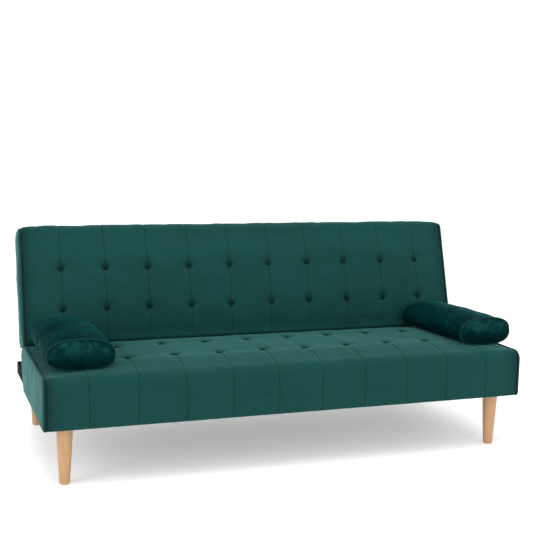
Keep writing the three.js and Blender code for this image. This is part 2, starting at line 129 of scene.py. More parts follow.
class SofaSizes(bpy.types.PropertyGroup):
    """Sizes of the upholstery."""

    seam_pitch: bpy.props.FloatProperty(
        name="Seam spacing",
        description="Distance between the sewn lines of the seat and the back",
        default=0.1663,
        unit="LENGTH",
    )
    seat_crown: bpy.props.FloatProperty(
        name="Seat crown",
        description="Height of the seat's padding over its piped ends",
        default=0.025,
        unit="LENGTH",
    )
    back_crown: bpy.props.FloatProperty(
        name="Back crown",
        description="Height of the back's padding over its piped ends",
        default=0.021,
        unit="LENGTH",
    )
    seam_depth: bpy.props.FloatProperty(
        name="Seam depth",
        description="Depth of a sewn line",
        default=0.0018,
        unit="LENGTH",
    )
    dimple_depth: bpy.props.FloatProperty(
        name="Button depth",
        description="How far a button draws the cover in",
        default=0.0100,
        unit="LENGTH",
    )
    button_radius: bpy.props.FloatProperty(
        name="Button radius",
        description="Radius of a covered button",
        default=0.0125,
        unit="LENGTH",
    )
    piping_radius: bpy.props.FloatProperty(
        name="Piping radius",
        description="Radius of the piping round the seat, back and bolsters",
        default=0.0034,
        unit="LENGTH",
    )
    panel_bulge: bpy.props.FloatProperty(
        name="Side bulge",
        description="How far the side panels swell in the middle",
        default=0.008,
        unit="LENGTH",
    )
    bolster_rise: bpy.props.FloatProperty(
        name="Bolster rise",
        description="How far the bolsters ride up on the seat's padding",
        default=0.004,
        unit="LENGTH",
    )


def colour_setting(name, description, default):
    return bpy.props.FloatVectorProperty(
        name=name, description=description, default=default, subtype="COLOR", size=3, min=0, max=1
    )


class SofaColours(bpy.types.PropertyGroup):
    """Colours of the finishes, in linear light."""

    velvet: colour_setting("Velvet", "Cover of the seat and back", (0.0045, 0.042, 0.0385))
    velvet_sheen: colour_setting("Velvet sheen", "Tips of the cover's pile", (0.26, 0.68, 0.66))
    bolster: colour_setting("Bolster velvet", "Cover of the bolsters", (0.0003, 0.0130, 0.0140))
    bolster_sheen: colour_setting("Bolster sheen", "Tips of the bolsters' pile", (0.06, 0.50, 0.50))
    beech: colour_setting("Beech", "Wood of the legs", (0.45, 0.245, 0.112))
    timber: colour_setting("Timber", "Pine and plywood of the hidden frame", (0.50, 0.34, 0.17))
    wrap: colour_setting("Black cloth", "Cloth round the base rails", (0.0065, 0.0055, 0.0065))
    steel: colour_setting("Zinc steel", "Hinges, pins and bolts", (0.48, 0.49, 0.50))
    floor: colour_setting("Floor", "Studio floor", (0.93, 0.93, 0.93))


# ---- Shader and geometry nodes -------------------------------------------------------


class Value:
    """A number carried by a socket. Arithmetic on it adds Math nodes."""

    def __init__(self, tree, socket):
        self.tree = tree
        self.socket = socket

    def _math(self, operation, first, second):
        node = self.tree.node("ShaderNodeMath", {"operation": operation}, {0: first, 1: second})
        return Value(self.tree, node.outputs[0])

    def __add__(self, other):
        return self._math("ADD", self, other)

    def __radd__(self, other):
        return self._math("ADD", other, self)

    def __sub__(self, other):
        return self._math("SUBTRACT", self, other)

    def __rsub__(self, other):
        return self._math("SUBTRACT", other, self)

    def __mul__(self, other):
        return self._math("MULTIPLY", self, other)

    def __rmul__(self, other):
        return self._math("MULTIPLY", other, self)


class Tree:
    """A node tree, shader or geometry, and the one way that a node is put into it."""

    def __init__(self, tree):
        self.tree = tree

    def node(self, kind, settings=None, inputs=None):
        node = self.tree.nodes.new(kind)
        for key, value in (settings or {}).items():
            if key == "stops":
                ramp = node.color_ramp.elements
                while len(ramp) < len(value):
                    ramp.new(0.5)
                for element, (position, colour) in zip(ramp, value):
                    element.position = position
                    element.color = (*colour, 1)
            else:
                setattr(node, key, value)
        for key, value in (inputs or {}).items():
            if isinstance(value, Value):
                value = value.socket
            if isinstance(value, bpy.types.NodeSocket):
                self.tree.links.new(value, node.inputs[key])
            else:
                node.inputs[key].default_value = value
        return node


class Finish(Tree):
    """A material in the making, ending in one Principled shader."""

    def __init__(self, name):
        self.material = bpy.data.materials.new(name)
        self.material.use_nodes = True
        super().__init__(self.material.node_tree)
        self.tree.nodes.clear()
        self.place = self.node("ShaderNodeTexCoord").outputs["Object"]

    def noise(self, size, detail=4.0, roughness=0.5, stretch=(1, 1, 1), distortion=0.0):
        """Noise from 0 to 1 whose features are about size metres across."""
        scale = tuple(1 / (size * s) for s in stretch)
        mapping = self.node("ShaderNodeMapping", inputs={"Vector": self.place, "Scale": scale})
        node = self.node(
            "ShaderNodeTexNoise",
            inputs={
                "Vector": mapping.outputs[0],
                "Scale": 1.0,
                "Detail": detail,
                "Roughness": roughness,
                "Distortion": distortion,
            },
        )
        return Value(self, node.outputs[0])

    def ramp(self, value, stops):
        return self.node("ShaderNodeValToRGB", {"stops": stops}, {0: value}).outputs[0]

    def band(self, value, low, high):
        """0 below low and 1 above high."""
        node = self.node(
            "ShaderNodeMapRange",
            {"interpolation_type": "SMOOTHSTEP"},
            {"Value": value, "From Min": low, "From Max": high},
        )
        return Value(self, node.outputs[0])

    def mix(self, share, first, second, blend="MIX"):
        first, second = ((*c, 1) if isinstance(c, tuple) else c for c in (first, second))
        node = self.node(
            "ShaderNodeMix",
            {"data_type": "RGBA", "blend_type": blend},
            {0: share, 6: first, 7: second},
        )
        return node.outputs[2]

    def attribute(self, name):
        node = self.node("ShaderNodeAttribute", {"attribute_name": name})
        return Value(self, node.outputs["Fac"])

    def bump(self, height, distance, strength=1.0, under=None):
        inputs = {"Height": height, "Distance": distance, "Strength": strength}
        if under is not None:
            inputs["Normal"] = under
        return self.node("ShaderNodeBump", inputs=inputs).outputs[0]

    def done(self, **inputs):
        inputs = {key.replace("_", " "): value for key, value in inputs.items()}
        shader = self.node("ShaderNodeBsdfPrincipled", inputs=inputs)
        self.node("ShaderNodeOutputMaterial", inputs={0: shader.outputs[0]})
        return self.material


def shade(colour, factor):
    return tuple(min(1.0, channel * factor) for channel in colour)


def velvet_finish(name, colour, sheen, weight, contrast, gloss=0.07, edge=0.40, glint_share=0.0):
    """Short-pile velvet: brushed patches of nap and fine pile, with painted shade along the sewn
    lines, round the buttons and at the piped ends. Crushed patches of pile may get painted
    highlights, and a mesh attribute paints a lighter sheen colour on parts of the bolsters."""
    f = Finish(name)
    brushed = f.noise(0.16, detail=3, stretch=(1.6, 1, 0.8), distortion=0.6)
    streaks = f.noise(0.018, detail=3, stretch=(5, 1, 1))
    pile = f.noise(0.0011, detail=2, roughness=0.7)
    weave = f.noise(0.0022, detail=1, stretch=(3, 1, 1))
    crushed_glint = f.noise(0.045, detail=4, roughness=0.6, distortion=1.2)
    nap = brushed * 0.55 + streaks * 0.25 + pile * 0.20
    dull, bright = shade(colour, 1 - contrast), shade(colour, 1 + contrast)
    base = f.mix(f.band(nap, 0.5 - 0.28, 0.5 + 0.28), dull, bright)
    # Painted highlight: crushed patches of pile lightened 4.5 times.
    base = f.mix(f.band(crushed_glint, 0.52, 0.74) * glint_share, base, shade(colour, 4.5))
    # Painted sheen: a lighter sheen colour where the mesh attribute asks for it, mottled by the
    # crushed patches.
    raised = f.attribute("raised") * (0.25 + 0.75 * f.band(crushed_glint, 0.38, 0.62))
    base = f.mix(raised, base, shade(sheen, 0.12))
    # Painted shade: darker along the sewn lines, round the buttons, at the piped ends and along the
    # bolsters' end seams.
    base = f.mix(f.attribute("sewn") * 0.6, base, shade(colour, 0.2))
    fine = f.bump(pile * 0.6 + weave * 0.4, 0.0004, 0.35)
    soft = f.bump(brushed * 0.5 + streaks * 0.2 + crushed_glint * 0.3, 0.002, 0.20, under=fine)
    return f.done(
        Base_Color=base,
        Roughness=0.62 + brushed * 0.22,
        Normal=soft,
        Specular_IOR_Level=gloss,
        Sheen_Weight=weight,
        Sheen_Roughness=edge,
        Sheen_Tint=(*sheen, 1),
    )


def beech_finish(name, colour):
    """Clear-lacquered beech: straight grain along the leg and short dark flecks."""
    f = Finish(name)
    grain = f.noise(0.010, detail=6, roughness=0.6, stretch=(1, 1, 14), distortion=0.5)
    rings = f.noise(0.0035, detail=3, stretch=(1, 1, 40))
    fleck = f.noise(0.0016, detail=1, stretch=(1, 1, 6))
    tone = f.noise(0.12, detail=2, stretch=(1, 1, 1.6))
    figure = grain * 0.6 + rings * 0.4
    tones = ((0.30, 0.72), (0.46, 0.96), (0.58, 1.08), (0.74, 0.86))
    wood = f.ramp(figure, [(place, shade(colour, factor)) for place, factor in tones])
    wood = f.mix(f.band(tone, 0.35, 0.7) * 0.35, wood, shade(colour, 0.80))
    wood = f.mix(f.band(fleck, 0.62, 0.72) * 0.45, wood, shade(colour, 0.45))
    return f.done(
        Base_Color=wood,
        Roughness=0.36 + grain * 0.16,
        Normal=f.bump(figure - f.band(fleck, 0.62, 0.72) * 0.5, 0.0003, 0.4),
        Coat_Weight=0.25,
        Coat_Roughness=0.28,
    )


def timber_finish(name, colour):
    """Sawn softwood of the hidden frame."""
    f = Finish(name)
    grain = f.noise(0.012, detail=5, stretch=(22, 1, 1), distortion=0.8)
    saw = f.noise(0.002, detail=1, stretch=(1, 8, 8))
    patch = f.noise(0.2, detail=2)
    wood = f.ramp(grain, [(0.3, shade(colour, 0.6)), (0.5, colour), (0.7, shade(colour, 1.25))])
    wood = f.mix(patch * 0.4, wood, shade(colour, 0.75))
    return f.done(
        Base_Color=wood,
        Roughness=0.68 + saw * 0.2,
        Normal=f.bump(grain * 0.6 + saw * 0.4, 0.0006, 0.5),
    )


def black_cloth_finish(name, colour):
    """Thin black cloth, with the dotted surface of bonded fibre."""
    f = Finish(name)
    dots = f.node(
        "ShaderNodeTexVoronoi",
        {"feature": "DISTANCE_TO_EDGE"},
        {"Vector": f.place, "Scale": 420.0, "Randomness": 0.25},
    ).outputs["Distance"]
    fibre = f.noise(0.0013, detail=3, roughness=0.7)
    dust = f.noise(0.07, detail=5)
    cloth = f.mix(f.band(dust, 0.45, 0.75) * 0.5, colour, shade(colour, 1.8))
    cloth = f.mix(fibre * 0.4, cloth, shade(colour, 0.5))
    weave = Value(f, dots) * 0.7 + fibre * 0.5
    return f.done(
        Base_Color=cloth,
        Roughness=0.80 + fibre * 0.15,
        Normal=f.bump(weave, 0.0006, 0.6),
        Specular_IOR_Level=0.06,
    )


def zinc_finish(name, colour):
    """Bright zinc plating with its faint spangle and handling marks."""
    f = Finish(name)
    spangle = f.node("ShaderNodeTexVoronoi", inputs={"Vector": f.place, "Scale": 160.0}).outputs[1]
    marks = f.noise(0.006, detail=5, stretch=(1, 4, 1))
    cloud = f.noise(0.04, detail=3)
    metal = f.mix(0.12, colour, spangle, "SOFT_LIGHT")
    metal = f.mix(f.band(cloud, 0.5, 0.8) * 0.4, metal, shade(colour, 0.62))
    return f.done(
        Base_Color=metal,
        Metallic=0.95,
        Roughness=0.26 + marks * 0.26,
        Normal=f.bump(marks, 0.0002, 0.3),
    )


def rubber_finish(name):
    f = Finish(name)
    grain = f.noise(0.0009, detail=2)
    bloom = f.noise(0.02, detail=4)
    black, grey = (0.010, 0.010, 0.010), (0.045, 0.043, 0.040)
    return f.done(
        Base_Color=f.mix(f.band(bloom, 0.45, 0.8) * 0.5, black, grey),
        Roughness=0.60 + bloom * 0.25,
        Normal=f.bump(grain, 0.0003, 0.5),
    )


def floor_finish(name, colour):
    f = Finish(name)
    cloud = f.noise(0.9, detail=3)
    fine = f.noise(0.004, detail=2)
    return f.done(
        Base_Color=f.mix(cloud * 0.5, colour, shade(colour, 0.985)),
        Roughness=0.72 + fine * 0.1,
        Specular_IOR_Level=0.2,
        Emission_Color=(1, 1, 1, 1),
        Emission_Strength=0.30,
    )


def thread_finish(name, colour, sheen, weight):
    """Twisted sewing thread and the tight cloth of piping."""
    f = Finish(name)
    twist = f.noise(0.0012, detail=2)
    return f.done(
        Base_Color=f.mix(twist, shade(colour, 0.7), shade(colour, 1.3)),
        Roughness=0.55 + twist * 0.2,
        Normal=f.bump(twist, 0.0003, 0.5),
        Specular_IOR_Level=0.08,
        Sheen_Weight=weight,
        Sheen_Roughness=0.35,
        Sheen_Tint=(*sheen, 1),
    )


FINISHES = {
    "Velvet": lambda c: velvet_finish("Velvet", tuple(c.velvet), tuple(c.velvet_sheen), 0.30, 0.14),
    # Buttons: the cover's velvet darkened to 0.42 as painted shade.
    "Button velvet": lambda c: velvet_finish(
        "Button velvet", shade(c.velvet, 0.42), tuple(c.velvet_sheen), 0.10, 0.14, 0.03
    ),
    # Piping: the cover's velvet darkened to 0.35 as painted shade.
    "Velvet piping": lambda c: thread_finish(
        "Velvet piping", shade(c.velvet, 0.35), tuple(c.velvet_sheen), 0.18
    ),
    "Bolster velvet": lambda c: velvet_finish(
        "Bolster velvet",
        tuple(c.bolster),
        tuple(c.bolster_sheen),
        weight=0.26,
        contrast=0.60,
        gloss=0.012,
        edge=0.20,
        # Share of painted highlight on the crushed patches.
        glint_share=0.35,
    ),
    # Bolster piping: the bolster velvet lightened 1.6 times as a painted highlight.
    "Bolster piping": lambda c: thread_finish(
        "Bolster piping", shade(c.bolster, 1.6), tuple(c.bolster_sheen), 0.45
    ),
    "Beech": lambda c: beech_finish("Beech", tuple(c.beech)),
    "Timber": lambda c: timber_finish("Timber", tuple(c.timber)),
    "Black cloth": lambda c: black_cloth_finish("Black cloth", tuple(c.wrap)),
    "Zinc steel": lambda c: zinc_finish("Zinc steel", tuple(c.steel)),
    "Rubber": lambda c: rubber_finish("Rubber"),
    "Floor": lambda c: floor_finish("Floor", tuple(c.floor)),
}


def finish(name):
    """The named material, made the first time that it is asked for."""
    found = bpy.data.materials.get(name)
    return found or FINISHES[name](bpy.context.scene.sofa_colours)


# ---- Outlines ------------------------------------------------------------------------


def rounded(corners, step=0.006, arc_steps=7):
    """A closed outline with rounded corners, from (across, up, radius) corners taken clockwise."""
    loop = []
    count = len(corners)
    for i, (y, z, radius) in enumerate(corners):
        here = np.array([y, z])
        before = np.array(corners[i - 1][:2]) - here
        after = np.array(corners[(i + 1) % count][:2]) - here
        before, after = before / np.linalg.norm(before), after / np.linalg.norm(after)
        half = math.acos(np.clip(before @ after, -1, 1)) / 2
        if radius <= 0 or half > math.radians(89):
            loop.append(here)
            continue
        reach = radius / math.tan(half)
        middle = before + after
        centre = here + middle / np.linalg.norm(middle) * (radius / math.sin(half))
        start, end = here + before * reach - centre, here + after * reach - centre
        for t in np.linspace(0, 1, arc_steps):
            blend = start * (1 - t) + end * t
            loop.append(centre + blend / np.linalg.norm(blend) * radius)
    return filled(loop, step)


def filled(loop, step):
    """The same outline with points no further apart than step."""
    full = []
    for i, start in enumerate(loop):
        end = loop[(i + 1) % len(loop)]
        parts = max(1, math.ceil(np.linalg.norm(end - start) / step))
        full += [start + (end - start) * k / parts for k in range(parts)]
    return np.array(full)


def lengths(loop):
    """Distance along the outline to each of its points."""
    sides = np.linalg.norm(np.diff(loop, axis=0), axis=1)
    return np.concatenate([[0], np.cumsum(sides)])


def normals(loop):
    """Outward normals of a clockwise outline, eased over neighbouring points."""
    tangent = np.roll(loop, -2, 0) - np.roll(loop, 2, 0)
    outward = np.column_stack([-tangent[:, 1], tangent[:, 0]])
    return outward / np.linalg.norm(outward, axis=1)[:, None]


def nearest(loop, y, z):
    return int(np.argmin(np.hypot(loop[:, 0] - y, loop[:, 1] - z)))


def on_seat(across, x, up):
    """Seat-front coordinates to the frame's."""
    return np.stack(np.broadcast_arrays(x, across + FRONT, up), -1)


def on_back(across, x, up):
    """The leaning back's own coordinates, measured from the pivot, to the frame's."""
    y = PIVOT.y + across * math.cos(LEAN) + up * math.sin(LEAN)
    z = PIVOT.z - across * math.sin(LEAN) + up * math.cos(LEAN)
    return np.stack(np.broadcast_arrays(x, y, z), -1)


def seat_panel_outline():
    return rounded(
        [
            (0, UNDERSIDE, 0.012),
            (0, SEAT_TOP, 0.034),
            (SLOPE_TOP, SEAT_TOP, 0.030),
            (TAIL, TAIL_TOP, TAIL_RADIUS),
            (TAIL, PIVOT.z, 0.012),
            (HEEL, UNDERSIDE, 0.010),
        ]
    )


def seat_cover_outline():
    heel_share = (FOAM_LOW - UNDERSIDE) / (PIVOT.z - UNDERSIDE)
    return rounded(
        [
            (0, UNDERSIDE, 0.009),
            (0, SEAT_TOP, 0.032),
            (SLOPE_TOP, SEAT_TOP, 0.016),
            (TAIL, TAIL_TOP, TAIL_RADIUS),
            (TAIL, PIVOT.z, 0),
            (HEEL + heel_share * (TAIL - HEEL), FOAM_LOW, 0),
            (BORDER_REAR, FOAM_LOW, 0),
            (BORDER_REAR, UNDERSIDE, 0.004),
        ]
    )


def back_panel_outline():
    return rounded(
        [
            (BACK_FACE, BACK_LOW, 0.014),
            (BACK_FACE, BACK_TOP - END_DROP, 0.024),
            (BACK_REAR_TOP, BACK_TOP - END_DROP, 0.010),
            (BACK_REAR_LOW, BACK_LOW, 0.006),
        ]
    )


def back_cover_outline():
    return rounded(
        [
            (BACK_FACE, BACK_LOW, 0.012),
            (BACK_FACE, BACK_TOP + BACK_LIP, 0.026),
            (BACK_REAR_TOP - 0.0005, BACK_TOP + BACK_LIP, 0.002),
            (BACK_REAR_TOP - 0.0005, BACK_TOP + 0.0003, 0),
            (FOAM_REAR, BACK_TOP + 0.0003, 0),
            (FOAM_REAR, BACK_LOW, 0.002),
        ]
    )


def rear_cover_outline():
    thickness = 0.003
    lip = 0.0008
    top, low = BACK_TOP - 0.0005, BACK_LOW - 0.0012
    return rounded(
        [
            (BACK_REAR_TOP - thickness, top, 0),
            (BACK_REAR_TOP, top, 0.002),
            (BACK_REAR_LOW, low, 0.002),
            (FOAM_REAR + 0.0005, low, 0),
            (FOAM_REAR + 0.0005, low + lip, 0),
            (BACK_REAR_LOW - thickness, low + lip, 0),
        ]
    )


# ---- Padding -------------------------------------------------------------------------


def ripple(u, v, size, seed):
    """A smooth random height, mostly between -1 and 1, the same each run."""
    rng = np.random.default_rng(seed)
    total = 0
    waves = 10
    for _ in range(waves):
        angle, phase = rng.uniform(0, 2 * math.pi, 2)
        length = size * rng.uniform(0.6, 1.7)
        travel = u * math.cos(angle) + v * math.sin(angle)
        total = total + np.sin(travel * 2 * math.pi / length + phase)
    return total / math.sqrt(waves)


def seam_places(sizes):
    return (np.arange(SEAM_COUNT) - (SEAM_COUNT - 1) / 2) * sizes.seam_pitch


def smoothstep(value, low, high):
    t = np.clip((value - low) / (high - low), 0, 1)
    return t * t * (3 - 2 * t)


def stations(sizes):
    """Places along X, close together at the seams and the piped ends."""
    steps = np.array([0.0011, 0.0021, 0.0032, 0.0045, 0.0062, 0.0085, 0.011])
    near = np.concatenate([-steps, [0], steps])
    marks = [np.linspace(-HALF_LENGTH, HALF_LENGTH, 251)]
    marks += [x + near for x in seam_places(sizes)]
    ends = HALF_LENGTH - np.array([0.0004, 0.0012, 0.0026, 0.0045])
    every = np.unique(np.round(np.concatenate([*marks, ends, -ends]), 6))
    keep = [every[0]]
    for x in every[1:]:
        if x - keep[-1] > 0.0008:
            keep.append(x)
    keep[-1] = HALF_LENGTH
    return np.array(keep)


def end_rise(x, reach):
    """0 at the piped ends, rising to 1 over the given distance."""
    inward = np.clip((HALF_LENGTH - np.abs(x)) / reach, 0, 1)
    return 1 - (1 - inward) ** 2


def end_shade(x):
    """Painted shade where the cover turns in to the piping at its ends."""
    inward = np.maximum(HALF_LENGTH - np.abs(x), 0)
    return 0.95 * np.exp(-((inward / 0.026) ** 1.5))


def end_roll(x, radius=0.016, drop=0.0065):
    """How far the cover turns down to meet the piping at its ends."""
    t = np.clip(1 - (HALF_LENGTH - np.abs(x)) / radius, 0, 1)
    return drop * (1 - np.sqrt(1 - t * t * 0.98))


def seam_sway(k, s, seed):
    """How far sewn line k strays to one side, at the distance s along the cover."""
    return 0.0011 * np.sin(9.1 * k + seed + s * 24) + 0.0006 * np.sin(3.7 * k + s * 57)


def quilting(x, s, rows, sizes, seed, clear=1.0):
    """Height of a sewn and buttoned cover over its plain crown, and the painted shade along its
    sewn lines and round its buttons.
    x is the place along the sofa, s the distance along the cover, rows the buttons' s and clear
    how plainly the sewn lines show."""
    seams = seam_places(sizes)
    height = np.zeros(np.broadcast_shapes(x.shape, s.shape))
    sewn = np.zeros_like(height)
    panel = np.abs((x / sizes.seam_pitch - 0.5) % 1 - 0.5) * 2  # 0 on a seam, 1 in mid panel
    height = height + PANEL_PUFF * (1 - (1 - panel) ** 2.4)
    for k, seam in enumerate(seams):
        off = x - seam - seam_sway(k, s, seed)
        line = np.exp(-((off / THREAD_WIDTH) ** 2))
        height = height - sizes.seam_depth * line * clear
        height = height - HOLLOW_DEPTH * np.exp(-np.abs(off) / HOLLOW_REACH) * clear
        lip = 0.0042 + 0.0008 * np.sin(5.3 * k + s * 31)
        height = height + LIP_HEIGHT * np.exp(-(((off - lip) / LIP_WIDTH) ** 2))
        # Painted shade in the groove of each sewn line.
        sewn = np.maximum(sewn, line * 0.6 * clear)
        for r, row in enumerate(rows):
            reach = np.hypot(off, s - row)
            jitter = 1 + 0.15 * math.sin(12.9 * k + 7.3 * r + seed)
            dimple = np.exp(-((reach / DIMPLE_REACH) ** 1.3))
            height = height - sizes.dimple_depth * jitter * dimple
            fold = 0.0009 * math.sin(4.1 * k + r + seed) * np.cos(4 * np.arctan2(s - row, off) + k)
            height = height + fold * np.exp(-((reach - 0.020) ** 2) / 0.00010)
            # Painted shade in the dimple round each button.
            sewn = np.maximum(sewn, 0.9 * np.exp(-((reach / 0.0165) ** 2)))
            crease = (s - row - 0.0015 * np.sin(off * 60 + k)) / CREASE_WIDTH
            fade = np.exp(-np.abs(off) / (0.026 + 0.008 * math.sin(k * 2.3 + r)))
            height = height - CREASE_DEPTH * np.exp(-(crease**2)) * fade
    for row in rows:
        height = height - 0.0003 * np.exp(-(((s - row) / 0.022) ** 2))
    return height, sewn


# ---- Meshes --------------------------------------------------------------------------


def new_object(name, mesh, material):
    obj = bpy.data.objects.new(name, mesh)
    bpy.context.scene.collection.objects.link(obj)
    mesh.materials.clear()
    mesh.materials.append(material)
    return obj


def smooth_shading(mesh, angle=None):
    mesh.polygons.foreach_set("use_smooth", [True] * len(mesh.polygons))
    if angle is not None:
        mesh.set_sharp_from_angle(angle=angle)


def written(bm, mesh):
    """The mesh, filled from bm with its faces turned outwards. It uses bm up."""
    bmesh.ops.recalc_face_normals(bm, faces=bm.faces)
    bm.to_mesh(mesh)
    bm.free()
    return mesh


def closed_mesh(name, points, faces, split=None):
    """A closed mesh. split cuts up the faces of more than four corners."""
    mesh = bpy.data.meshes.new(name)
    mesh.from_pydata(points.tolist(), [], faces)
    bm = bmesh.new()
    bm.from_mesh(mesh)
    if split:
        split(bm, faces=[f for f in bm.faces if len(f.verts) > 4])
    return written(bm, mesh)


def ring_faces(rings, cols):
    """The point numbers of the rings, those one further round, and the quads between rings."""
    ids = np.arange(rings * cols).reshape(rings, cols)
    ahead = np.roll(ids, -1, 1)
    quads = np.stack([ids[:-1], ids[1:], ahead[1:], ahead[:-1]], -1).reshape(-1, 4)
    return ids, ahead, quads.tolist()


def assign(obj, body, stands_for=()):
    """The body a piece rides on, and the frame's nodes it replaces."""
    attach(obj, body)
    if stands_for:
        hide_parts(*stands_for)


def set_attribute(mesh, name, values):
    layer = mesh.attributes.new(name, "FLOAT", "POINT")
    layer.data.foreach_set("value", np.asarray(values, np.float32).ravel())


def swept_cover(name, loop, places, lift, to_frame, marks=None):
    """A closed body: the outline swept along X and lifted off along its normals. marks gives the
    painted shade at each place, along the sewn lines, round the buttons and at the piped ends."""
    along = lengths(loop)[None, :]
    x = places[:, None]
    height = lift(x, along)
    outward = normals(loop)
    across = loop[None, :, 0] + outward[None, :, 0] * height
    up = loop[None, :, 1] + outward[None, :, 1] * height
    points = to_frame(across, x, up).reshape(-1, 3)
    ids, _, quads = ring_faces(len(places), len(loop))
    faces = quads + [ids[0].tolist(), ids[-1][::-1].tolist()]
    mesh = closed_mesh(name, points, faces, bmesh.ops.triangulate)
    if marks is not None:
        set_attribute(mesh, "sewn", np.broadcast_to(marks(x, along), height.shape))
    smooth_shading(mesh, COVER_EDGE)
    return new_object(name, mesh, finish("Velvet"))


def cut_away(obj, prisms):
    """Cuts prisms, given as (lowest X, highest X, outline across Y and Z), out of a closed mesh."""
    bm = bmesh.new()
    for low, high, outline in prisms:
        near = [bm.verts.new((low, y, z)) for y, z in outline]
        far = [bm.verts.new((high, y, z)) for y, z in outline]
        bm.faces.new(near)
        bm.faces.new(far[::-1])
        for i in range(len(near)):
            bm.faces.new((near[i - 1], near[i], far[i], far[i - 1]))
    tool_mesh = written(bm, bpy.data.meshes.new("cutter"))
    tool = bpy.data.objects.new("cutter", tool_mesh)
    bpy.context.scene.collection.objects.link(tool)
    difference = obj.modifiers.new("Pockets", "BOOLEAN")
    difference.operation = "DIFFERENCE"
    difference.solver = "EXACT"
    difference.object = tool
    bake_modifiers(obj)
    bpy.data.objects.remove(tool)
    bpy.data.meshes.remove(tool_mesh)
    if not obj.data.polygons:
        raise RuntimeError(f"{obj.name}: nothing left after the cut")


def bake_modifiers(obj):
    """The object's mesh as its modifiers leave it, with the modifiers removed."""
    graph = bpy.context.evaluated_depsgraph_get()
    mesh = bpy.data.meshes.new_from_object(obj.evaluated_get(graph))
    old = obj.data
    obj.modifiers.clear()
    obj.data = mesh
    bpy.data.meshes.remove(old)
    obj.data.name = obj.name


def padded_panel(name, loop, side, to_frame, bulge, seed):
    """A side panel: an outline with a rolled edge whose outer face swells in the middle."""
    outward = normals(loop)
    centre = loop.mean(0)
    roll = 0.0060
    inner = PANEL_INSIDE + 0.0030
    rings = [(0.6, 0, inner), (0.9, 0, inner), (1, 0.0020, inner)]
    rings += [(1, 0.0004, inner + 0.0008)]
    for angle in np.linspace(0, 90, 7):
        turn = math.radians(angle)
        rings.append((1, roll * (1 - math.cos(turn)), PANEL_OUTSIDE - roll + roll * math.sin(turn)))
    shares = [0.975, 0.95, 0.92, 0.88, 0.83, 0.77, 0.7, 0.62, 0.53, 0.44, 0.34, 0.24, 0.14, 0.05]
    rings += [(share, roll, None) for share in shares]
    points = []
    for share, inset, x in rings:
        base = centre + (loop - outward * inset - centre) * share
        if x is None:
            swell = bulge * (1 - share**3.2) ** 0.8
            folds = 0.0011 * ripple(base[:, 0], base[:, 1], 0.13, seed)
            folds += 0.0004 * ripple(base[:, 0], base[:, 1], 0.035, seed + 1)
            x = PANEL_OUTSIDE + swell + folds * smoothstep(1 - share, 0, 0.15)
        points.append(to_frame(base[:, 0], side * x, base[:, 1]))
    ids, _, quads = ring_faces(len(rings), len(loop))
    faces = quads + [ids[0].tolist(), ids[-1].tolist()]
    mesh = closed_mesh(name, np.concatenate(points), faces, bmesh.ops.poke)
    smooth_shading(mesh)
    return new_object(name, mesh, finish("Velvet"))


# ---- What repeats or follows a path, through Geometry Nodes --------------------------


def geometry_tree(name, build, sockets):
    """The named geometry tree, made the first time that it is asked for. build makes its
    geometry from its inputs, which are the source's geometry, the sockets and a material."""
    found = bpy.data.node_groups.get(name)
    if found:
        return found
    group = bpy.data.node_groups.new(name, "GeometryNodeTree")
    group.interface.new_socket("Geometry", in_out="INPUT", socket_type="NodeSocketGeometry")
    for label, kind in (*sockets.items(), ("Material", "Material")):
        group.interface.new_socket(label, in_out="INPUT", socket_type=f"NodeSocket{kind}")
    group.interface.new_socket("Geometry", in_out="OUTPUT", socket_type="NodeSocketGeometry")
    tree = Tree(group)
    given = tree.node("NodeGroupInput").outputs
    realized = tree.node("GeometryNodeRealizeInstances", inputs={"Geometry": build(tree, given)})
    smooth = tree.node("GeometryNodeSetShadeSmooth", inputs={"Geometry": realized.outputs[0]})
    painted = tree.node(
        "GeometryNodeSetMaterial",
        inputs={"Geometry": smooth.outputs[0], "Material": given["Material"]},
    )
    tree.node("NodeGroupOutput", inputs={0: painted.outputs[0]})
    return group


def build_piping(tree, given):
    """A round cord of cloth along a path of edges."""
    path = tree.node("GeometryNodeMeshToCurve", inputs={"Mesh": given["Geometry"]}).outputs[0]
    section = tree.node(
        "GeometryNodeCurvePrimitiveCircle",
        inputs={"Resolution": given["Sides"], "Radius": given["Radius"]},
    ).outputs[0]
    return tree.node(
        "GeometryNodeCurveToMesh",
        inputs={"Curve": path, "Profile Curve": section, "Fill Caps": True},
    ).outputs[0]


def spread_buttons(tree, given):
    """One button on each point, its face along the point's facing."""
    button = tree.node(
        "GeometryNodeObjectInfo", {"transform_space": "ORIGINAL"}, {"Object": given["Button"]}
    ).outputs["Geometry"]
    facing = tree.node(
        "GeometryNodeInputNamedAttribute", {"data_type": "FLOAT_VECTOR"}, {"Name": "facing"}
    ).outputs["Attribute"]
    turn = tree.node(
        "FunctionNodeAlignRotationToVector", {"axis": "Z"}, {"Vector": facing}
    ).outputs[0]
    return tree.node(
        "GeometryNodeInstanceOnPoints",
        inputs={
            "Points": given["Geometry"],
            "Instance": button,
            "Rotation": turn,
            "Scale": given["Size"],
        },
    ).outputs[0]


def lay_bars(tree, given):
    """Small bars, such as staples, laid end to end along a path."""
    path = tree.node("GeometryNodeMeshToCurve", inputs={"Mesh": given["Geometry"]}).outputs[0]
    spaced = tree.node(
        "GeometryNodeCurveToPoints", {"mode": "LENGTH"}, {"Curve": path, "Length": given["Spacing"]}
    )
    bar = tree.node(
        "GeometryNodeObjectInfo", {"transform_space": "ORIGINAL"}, {"Object": given["Bar"]}
    ).outputs["Geometry"]
    along = tree.node(
        "FunctionNodeAlignRotationToVector", {"axis": "X"}, {"Vector": spaced.outputs["Tangent"]}
    ).outputs[0]
    return tree.node(
        "GeometryNodeInstanceOnPoints",
        inputs={"Points": spaced.outputs["Points"], "Instance": bar, "Rotation": along},
    ).outputs[0]


